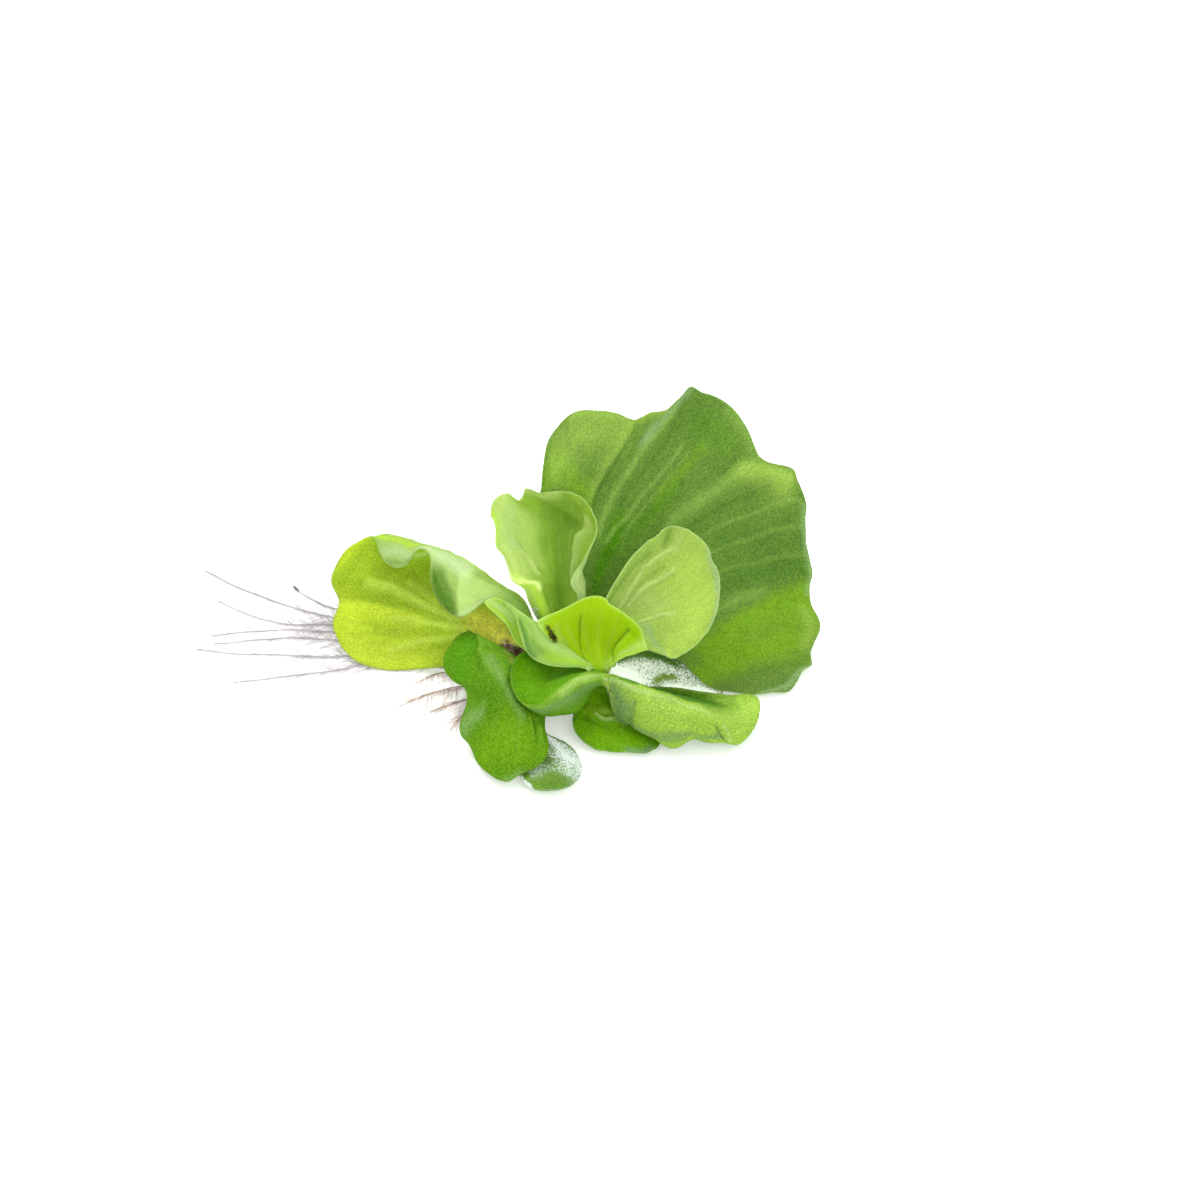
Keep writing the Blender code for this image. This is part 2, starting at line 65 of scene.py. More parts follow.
# How their edges and strokes follow the photograph.
OUTLINE_REACH = 0.4         # share of a leaf over which a moved edge fades out
OUTLINE_FADE_LINES = 8      # lines of the mesh over which a moved stretch of an edge fades out
OUTLINE_SMOOTHING = 2       # rounds over its moves, so that it has no corners
STROKE_CLOSE = 0.45         # mm from a stroke's point within which the leaf's nearest fold is taken
STROKE_DRIFT = 0.18         # mm that a stroke's sides wander
DRIFT_SIZE = 11             # mm between those bends
STROKE_SIDE_REACH = 2.0     # mm from its line within which a stroke's left and right are told apart

# A leaf's thickness, in mm: even over its blade, fleshy towards its foot, and round at its rim.
BLADE_THICKNESS = 0.42
RIM_THICKNESS = 0.2
RIM_ROUNDING = 1.4          # mm over which a blade thins to its rim
RIM_BULGE = 0.8             # how far its rim stands out, in halves of its thickness
FLESHY_PART = 0.85          # of its length, beyond which it has only the blade's thickness
FLESH_AT_SIDE = 0.35        # of the thickness in the middle
FOOT_REACH = 0.6            # share of the way into the crown that its foot is carried on
FOOT_STEPS = (1.0, 0.66, 0.33)

# Its relief, in mm.
NERVE_SPREAD = 0.86         # share of half the width within which the nerves fan out
NERVE_WIDTH = 0.42
NERVE_DEPTH = 0.13          # of the grooves above
RIB_HEIGHT = 0.12           # of the ribs below, where its look gives none
PUCKER = 0.16               # height of its puckers, where its look gives none
PUCKER_SIZE = 4.5
BULGE_SIZE = 9              # of the wider humps that go with them
RUFFLE_REACH = 2.2          # from the rim
RIM_LINE = 0.4              # width of the pale line along the rim

# Each leaf as its solid has it: points in mm as (right, up, near), drawn as the photograph shows them.
# foot, half and curl give the row where it joins the crown: its middle, half its width and how its ends
# turn. Each rib is a row of points across the leaf, and the rim is the last. flesh is how thick it is at
# its foot, in mm.
LEAVES = {
    # the largest, standing at the back right and facing forward
    "back": dict(
        flesh=2.4,
        foot=(15.5, -1.4, 5), half=(1.8, -0.6, 0.2), curl=(0, 0, 0),
        ribs=[
            [(14, 8, 0.5), (16.5, 9.5, -1.5), (20.5, 10.5, -3.5), (25, 9.5, -4.5), (28.5, 6.5, -4),
            (30, 3.5, -2), (29, 0.8, 1.5)],
            [(10.6, 22, -0.8), (17, 25, -2), (27, 26, -5.5), (38, 22, -8), (44, 13, -8.5),
            (45, 4, -5.5), (39.4, -2.4, 1)],
            [(7.3, 32, -0.6), (14, 39, -1.5), (27, 41, -4.5), (42, 42, -6.5), (53, 31, -9.5),
            (58, 12, -11), (57.5, -2, -6.5), (47, -9, 1.5)],
        ],
        rim=[
            (5.4, 40, 0.5), (6.2, 52, 0), (12, 59.4, -2), (20, 60.2, -1.5), (28, 57.6, 0.5),
            (34.5, 59.6, -1.5), (42.5, 65.6, -4), (51, 62.4, -6), (57.6, 54, -6), (62, 47.8, -7),
            (69.5, 44.4, -10), (71.8, 30, -11), (72.3, 15, -14.5), (75, 4, -15.4), (72.8, -4.2, -6),
            (67.8, -10.4, 0.7), (61, -11.5, 2), (54, -10.7, 2.2)
        ]),
    # young and pale, with ruffled sides and a notch in its top
    "inner_left": dict(
        flesh=1.6,
        foot=(12.2, 0.3, 8.7), half=(1.8, 0.2, 0.2), curl=(0, 0, 0.3),
        ribs=[
            [(5, 8.3, 10.6), (7.1, 8.6, 11), (11, 8.8, 7), (13.4, 9.2, 8), (15, 9.4, 10),
            (14.2, 9.4, 11)],
            [(2.9, 12.6, 11.4), (5.9, 13.4, 12), (10, 14, 5.5), (13.5, 14.3, 6.5), (15.9, 14, 9.5),
            (14.4, 13.4, 11.5)],
            [(1.5, 15.2, 11.8), (5, 16.4, 12.2), (9.8, 16.6, 5), (13.2, 16.9, 6), (15.7, 16.8, 9.3),
            (12.7, 16.4, 12)],
            [(-1, 16.8, 12.4), (2.8, 17.8, 11.6), (9, 19.6, 4), (13.4, 20.1, 5.5), (15.3, 19.9, 9),
            (13.4, 18.9, 11)],
            [(-3, 21.3, 12), (1, 22, 8.5), (8.5, 22.8, 3.5), (14, 23, 5), (16, 22.5, 8.5),
            (15.6, 22, 10)],
            [(-5.9, 26.3, 10.5), (-1.5, 27.3, 7.5), (7.5, 28, 3), (14.2, 27.8, 4.5), (17.6, 27, 7.5),
            (18, 26.3, 9.5)],
            [(-6.6, 31, 9.5), (-2, 32, 6.5), (7, 32.5, 2.5), (14.2, 32, 4), (18.2, 30.5, 7),
            (19.2, 29.5, 9)],
        ],
        rim=[
            (-7.3, 33.3, 9), (-6.6, 36.6, 8.5), (-3.8, 38.9, 7.5), (-1.2, 38.4, 6.5), (0.2, 37.7, 5.5),
            (1.6, 40.2, 5.5), (5, 39.8, 4.5), (10.5, 39.7, 3.5), (14.4, 38.3, 4.5), (17.4, 35.6, 6.5),
            (19.2, 32.6, 8.5)
        ]),
    # young, pale and oval
    "inner_right": dict(
        flesh=1.6,
        foot=(18, -1.6, 9.8), half=(1.2, -1, 0.4), curl=(0, 0, 0),
        ribs=[
            [(20.9, 11.5, 10), (22.6, 10, 8), (25, 7.5, 7), (26.8, 3.8, 8.5), (28, 0.8, 11)],
            [(24.2, 17.8, 9.5), (26.5, 15.5, 7), (29.5, 12, 5.5), (32, 8, 6.5), (33.5, 4.5, 8.5),
            (34.8, -1, 11)],
            [(28.6, 24, 7.5), (32.5, 21.5, 5.5), (37, 17.5, 4.5), (40, 12, 5.5), (41, 5.5, 8),
            (38.6, -2.2, 11)],
        ],
        rim=[
            (32.3, 27.1, 7), (34.6, 28.6, 6.5), (36, 30, 6), (39, 30.9, 6), (42.6, 30.4, 5.5),
            (46.2, 27, 5), (48.5, 23.4, 5), (49.6, 19, 5.5), (49.9, 14.5, 6.5), (49, 8.8, 8.5),
            (46.3, 3.5, 9.5), (42.7, 0.3, 10.5)
        ]),
    # the youngest: a bright hood in the middle
    "heart": dict(
        flesh=1.3,
        foot=(20.7, -5.3, 14.2), half=(1.4, -0.4, 0.2), curl=(0, 0, 0.4),
        ribs=[
            [(12.6, 1.2, 14.8), (14.8, 1.4, 13), (18.8, 1.6, 11.8), (23.5, 0.6, 13.5), (26.7, -1.9, 17)],
        ],
        rim=[
            (5.7, 7.1, 19), (9.5, 10.2, 17), (13.3, 12, 15.5), (17, 13.1, 14.5), (20.4, 12.8, 14.5),
            (22.2, 10.9, 14.5), (25.8, 9.2, 15.5), (28.8, 7.2, 17), (31, 4.2, 18.5), (32.3, -0.2, 20)
        ]),
    # narrow, rolled lengthwise with its slit to the left
    "folded": dict(
        flesh=1.0,
        foot=(17.4, -4.2, 15.4), half=(-0.1, -0.9, 0.9), curl=(-0.3, 0.2, 0.3),
        ribs=[
            [(11, -3.4, 16.2), (11.6, -1.8, 15.4), (12.8, -0.4, 15.9), (12.2, -2.5, 18.1),
            (11.2, -4.1, 18.6)],
            [(3, -1, 13.5), (3.8, 2, 12.5), (6.2, 5.2, 13.5), (5.4, 1.5, 18), (4.6, -1.6, 18.5)],
            [(-0.8, 1.8, 12.5), (-0.8, 5, 11.5), (1.5, 8.5, 12.5), (1.8, 5.5, 16.5), (1.5, 1.4, 17)],
            [(-3.4, 6.3, 12), (-3.4, 8.8, 11), (-2.5, 11.2, 12), (-1.4, 10, 15), (-0.8, 8.2, 15.5)],
        ],
        rim=[
            (-8.5, 11.2, 11), (-8.6, 12.2, 10.5), (-6.5, 13, 11), (-4.6, 12.4, 12.5), (-3.4, 11.2, 13.5)
        ]),
    # old and yellowing, with its upper side rolled over forward
    "left": dict(
        flesh=2.0,
        foot=(3, 2.4, 5.8), half=(1.2, 1.1, 0.2), curl=(0, 0, 0),
        ribs=[
            [(-3, -0.6, 4.2), (-3.8, 1.8, 3.2), (-3.6, 5, 2.2), (-2, 8.6, 1.2), (-0.2, 11, 0.5),
            (0.5, 11.8, 3), (0.4, 9.5, 5.5), (-0.6, 7.5, 6.5)],
            [(-10, -3, 1), (-11, 0, 0), (-11.5, 4, -1), (-10.5, 9, -2), (-8, 13.6, -1.5),
            (-4.4, 15.4, 2), (-6, 13.8, 6), (-8.8, 11.8, 7)],
            [(-19, -4.2, -3), (-19.5, 0.5, -4), (-20, 6, -5), (-19, 13, -6), (-16.5, 19, -6),
            (-12.6, 21.4, -1), (-14, 16, 4.5), (-16.8, 8.8, 5)],
            [(-27, -4.9, -5.5), (-27, 1.5, -6.5), (-27.5, 8, -8), (-26.5, 16, -9), (-23, 22.4, -9),
            (-18.5, 24.6, -4), (-19.5, 22, 0.5), (-22, 17.5, 1)],
            [(-31.5, -5.1, -5.7), (-32, 2, -7.5), (-32.5, 9, -9.5), (-31.5, 18, -10.5),
            (-28.5, 24, -10), (-23.8, 26.2, -6), (-23.4, 26, -3.5), (-24.4, 25.2, -2)],
            [(-36, -4.6, -6.2), (-37.5, 2.5, -8.5), (-37.5, 10.5, -10.5), (-37, 19.5, -11.5),
            (-34, 25, -11), (-29.5, 28, -7.5), (-29.3, 25, -4), (-30, 21, -4)],
            [(-41, -2.8, -6.8), (-42.5, 3, -9.5), (-42, 11.5, -10.5), (-42.5, 20, -11.5),
            (-39.5, 25.8, -11), (-33.3, 28.7, -8.5), (-33.8, 27, -6), (-34.6, 24, -6)],
        ],
        rim=[
            (-44.7, 0.8, -8.5), (-46.8, 6.5, -9.5), (-45.2, 12.2, -10), (-47.2, 17.6, -11.5),
            (-44, 24.5, -11), (-39.3, 27.7, -10), (-37.5, 28.4, -9.5), (-35.5, 28.5, -9)
        ]),
    # lobed, humped, and drooping to the table
    "front_left": dict(
        flesh=1.8,
        foot=(1, -3.4, 7.6), half=(-2.2, 1.3, 0), curl=(0, 0, -1),
        ribs=[
            [(3.2, -6.5, 9.5), (1.6, -7.5, 13), (-1.5, -7, 14.5), (-3.8, -4.7, 13.5), (-4.6, -2.5, 11),
            (-4.4, -0.8, 8), (-3.5, 0.1, 6)],
            [(4.5, -10.5, 12), (2.5, -13, 17.5), (-1.5, -13.5, 19.5), (-6, -9.5, 18),
            (-9.5, -5.5, 13.5), (-10.4, -1.4, 9), (-7.9, 2.1, 4.6)],
            [(5.4, -13.5, 14.5), (4, -20, 21.5), (-2, -21.5, 23.2), (-8.5, -16, 20.5),
            (-11, -10.5, 15.5), (-14.6, -3.5, 8.5), (-11.4, 4.2, 3.4)],
        ],
        rim=[
            (5.8, -16.5, 17), (6.4, -21, 20.3), (6.9, -24.2, 22.6), (5.6, -27.6, 25.2),
            (1.2, -30.9, 27.2), (-3.5, -33.2, 28.2), (-8, -30.8, 25.2), (-10.6, -28.2, 23.2),
            (-12.2, -23.8, 20.3), (-14.8, -20.4, 18.6), (-13.6, -15, 14.6), (-13.5, -11.2, 11.8),
            (-16.4, -7.9, 7.8), (-19, -3.9, 4), (-18.4, 0, 2.4), (-15.8, 3.4, 2), (-13.2, 5, 2.6)
        ]),
    # an older leaf lying under the one before
    "low_left": dict(
        flesh=1.4,
        foot=(6.2, -9.4, 4), half=(1.4, -0.3, 0), curl=(0, 0, 0),
        ribs=[
            [(6, -14.5, 7.6), (4.4, -14.8, 8), (2.8, -14.8, 8), (1.2, -14.5, 7.8), (0, -14.2, 7.4)],
            [(6.4, -20.3, 13.3), (4.4, -20.8, 14), (2.2, -21, 14.3), (0.2, -20.8, 14), (-1.4, -20.2, 13.2)],
        ],
        rim=[
            (8.6, -22, 15), (11.3, -23.2, 16.6), (13.5, -25, 18.8), (15.3, -28.6, 22.9), (14.6, -32, 26.6),
            (11, -34.6, 29.7), (6, -35.2, 30.3), (2, -34.3, 29.3), (-0.4, -31.4, 25.9), (-1, -26.5, 20.2)
        ]),
    # short and cupped, open to the left
    "scoop": dict(
        flesh=1.6,
        foot=(21.2, -7.0, 17.2), half=(-0.4, 1.4, -0.6), curl=(0, 0, -1.6),
        ribs=[
            [(18, -10.7, 14.5), (16.3, -9.2, 17.5), (14.8, -7.1, 19), (14.3, -5.6, 15),
            (13.8, -4.2, 12.8), (13.5, -2.9, 12)],
            [(14.3, -15.3, 17), (12.5, -12, 21), (10.8, -9, 22), (9.3, -6.5, 15), (8.3, -3.8, 11.5),
            (8, -1.7, 10)],
            [(9.8, -16.3, 19), (9, -13.8, 22.5), (7.5, -11, 23.5), (5.8, -7.8, 16.5), (4.5, -3.4, 12),
            (4.3, -0.7, 9.9)],
            [(6.3, -16.5, 20), (5.3, -15, 22.5), (4.3, -13, 23), (2.3, -9.5, 18.5), (1, -4.6, 13.5),
            (1.2, -0.3, 10.8)],
        ],
        rim=[
            (3, -15.5, 21), (1, -14.3, 22), (-0.8, -12.3, 21.5), (-2.2, -8.5, 19), (-2.2, -4.9, 15.8),
            (-0.6, -1.3, 12.2)
        ]),
    # long, with its near side turned up and over
    "front_right": dict(
        flesh=1.8,
        foot=(20.2, -7.1, 17), half=(0.1, -1.4, 0.2), curl=(0, 0, -1),
        ribs=[
            [(22.2, -6.6, 12), (21.9, -6.7, 13.5), (21.6, -6.6, 17.2), (21.8, -7.8, 17.4),
            (22.1, -9.2, 16.8), (22.5, -10.6, 15.6)],
            [(25.5, -7.8, 8), (25, -8.3, 8), (23.8, -6.9, 17), (23.3, -9.5, 17), (23.2, -12.5, 15.2),
            (23.4, -16, 12.4)],
            [(31.3, -9.3, 5), (30.5, -10, 5), (29, -8.8, 20), (27.5, -12, 21), (26.5, -15.5, 19),
            (26.6, -18.3, 15.5)],
            [(36.3, -9.4, 4), (37, -11, 4), (34, -10.6, 22), (32.5, -14.3, 23.5), (31.3, -18, 22),
            (30.8, -21.6, 18.5)],
            [(42.5, -10, 4), (43.5, -12.3, 5), (40, -12.9, 22.5), (39, -16.5, 24), (38.5, -20.3, 23),
            (38, -24.2, 20)],
            [(47.5, -10.6, 5), (48.5, -13.5, 6.5), (45, -14.6, 21.5), (44.5, -17.5, 23),
            (44.3, -20, 22), (44, -22.3, 19.5)],
            [(52, -10.9, 6.5), (52.3, -14.5, 9), (49, -17, 20), (49, -19.3, 21), (49, -21.3, 20.5),
            (48.8, -23.4, 19)],
            [(54.5, -10.6, 8), (55.5, -15.5, 11), (52.5, -18.8, 17.5), (52.8, -21, 18.5),
            (52.8, -22.5, 19), (52.5, -23.8, 18)],
        ],
        rim=[
            (57.8, -10.8, 8), (59.8, -13, 8), (59.5, -17, 11.5), (57.5, -20.5, 14.5),
            (55.5, -22.5, 16.5), (54, -23.5, 16)
        ]),
    # dark, lying under the two front leaves
    "low_front": dict(
        flesh=1.2,
        foot=(18.4, -8.7, 8.6), half=(-3.4, -0.2, 0), curl=(0, 0, 0),
        ribs=[
            [(24.2, -10.6, 7), (21.5, -11.6, 8.6), (18, -12.2, 9.4), (15, -12.4, 9.2), (13.4, -12.4, 8.8)],
            [(30, -15.6, 8.8), (25.5, -17.3, 11.8), (20.5, -18, 13.4), (16, -17.2, 13), (13.2, -15.4, 11)],
        ],
        rim=[
            (36, -21, 14.1), (34.3, -24.3, 17.6), (31.3, -26, 19), (27.5, -25.8, 18.7),
            (22.5, -25.3, 18.5), (18, -24.3, 18.1), (14.5, -21.8, 16.6), (13, -18.5, 14.3),
            (13.6, -15.8, 12)
        ]),
    # silvery, lying under the big leaf
    "low_right": dict(
        flesh=1.0,
        foot=(17.6, -4.9, 6.2), half=(0.4, -0.9, 0), curl=(0, 0, 0),
        ribs=[
            [(24.5, -2.4, 1.8), (24.8, -5, 1), (25.2, -8.5, 1.4)],
            [(32.2, -0.8, -2.8), (32.8, -5.2, -2.6), (33.5, -10.4, 1)],
            [(40.5, -2.6, -4.2), (41, -6.6, -2.8), (41.2, -11, 1.5)],
        ],
        rim=[
            (45.6, -5.2, -3.6), (49, -8, -1.6), (50.8, -10.2, 0.5), (49, -11.4, 1.9), (46.5, -11.8, 2.4)
        ]),
}

# Each root leaves the crown at a point (x, y, z) and then follows points (x, y) on the table.
ROOTS = [
    ((-3.8, 5.0, 3.0), [(-10, 9), (-22, 14.5), (-35, 18.5), (-47, 21.2), (-55.4, 24), (-64, 28),
                        (-74, 33.6), (-84, 40.7)]),
    ((-4.9, 3.9, 2.6), [(-14, 8.8), (-26, 13.5), (-38, 17), (-49.5, 18.8), (-58.7, 18.9), (-66.5, 20.8),
                        (-72.5, 24), (-79, 28)]),
    ((-5.6, 2.4, 2.2), [(-15, 6.6), (-27, 11), (-38, 14.4), (-48, 16.1), (-59.5, 16.7), (-69.6, 16.1),
                        (-79.2, 14.5)]),
    ((-5.9, 0.9, 1.9), [(-16, 4.8), (-28, 8.6), (-38, 11), (-47.6, 12.6), (-58.2, 13.9), (-68, 12.6),
                        (-78.4, 11.4)]),
    ((-6.0, -0.6, 1.6), [(-17, 3), (-28, 5.6), (-37, 6.6), (-46.4, 6.2), (-53.5, 6.4), (-63, 7.1),
                         (-72.6, 7.5), (-82.4, 9.1)]),
    ((-5.9, -2.0, 1.4), [(-17, 1), (-28, 3.6), (-36, 4.3), (-41.5, 3), (-46.8, 1), (-55.2, -0.5),
                         (-62.9, -2), (-71.8, -3.5)]),
    ((-2.4, 5.9, 3.4), [(-9, 11.5), (-20, 17.4), (-33, 21.8), (-44, 24.2), (-49.7, 25.6), (-53.9, 28.2),
                        (-57.8, 31.6), (-60.2, 34.5)]),
    ((-5.6, -3.6, 1.2), [(-11, -1.9), (-16, -0.3), (-20, 0.3), (-23, -1.1), (-26.5, -3.8)]),
    ((-4.8, -5.0, 1.2), [(-10, -4.8), (-16.5, -5), (-22.5, -7.5), (-30, -12.5)]),
    ((-3.4, -6.2, 1.2), [(-7.5, -7.8), (-12, -9), (-17, -11.4), (-22, -14.6)]),
    ((-1.8, -7.0, 1.2), [(-7, -10.5), (-12, -13.5), (-15.5, -17.5), (-17, -21.5)]),
    ((-0.8, 6.0, 3.0), [(-5, 14), (-13, 23), (-24, 31), (-36, 37)]),
    ((1.0, 5.8, 3.0), [(1, 13), (-2, 22), (-9, 30), (-20, 36)]),
]
SHORT_ROOTS = (8, 9, 10, 11)    # these end between the left leaf and the front leaf

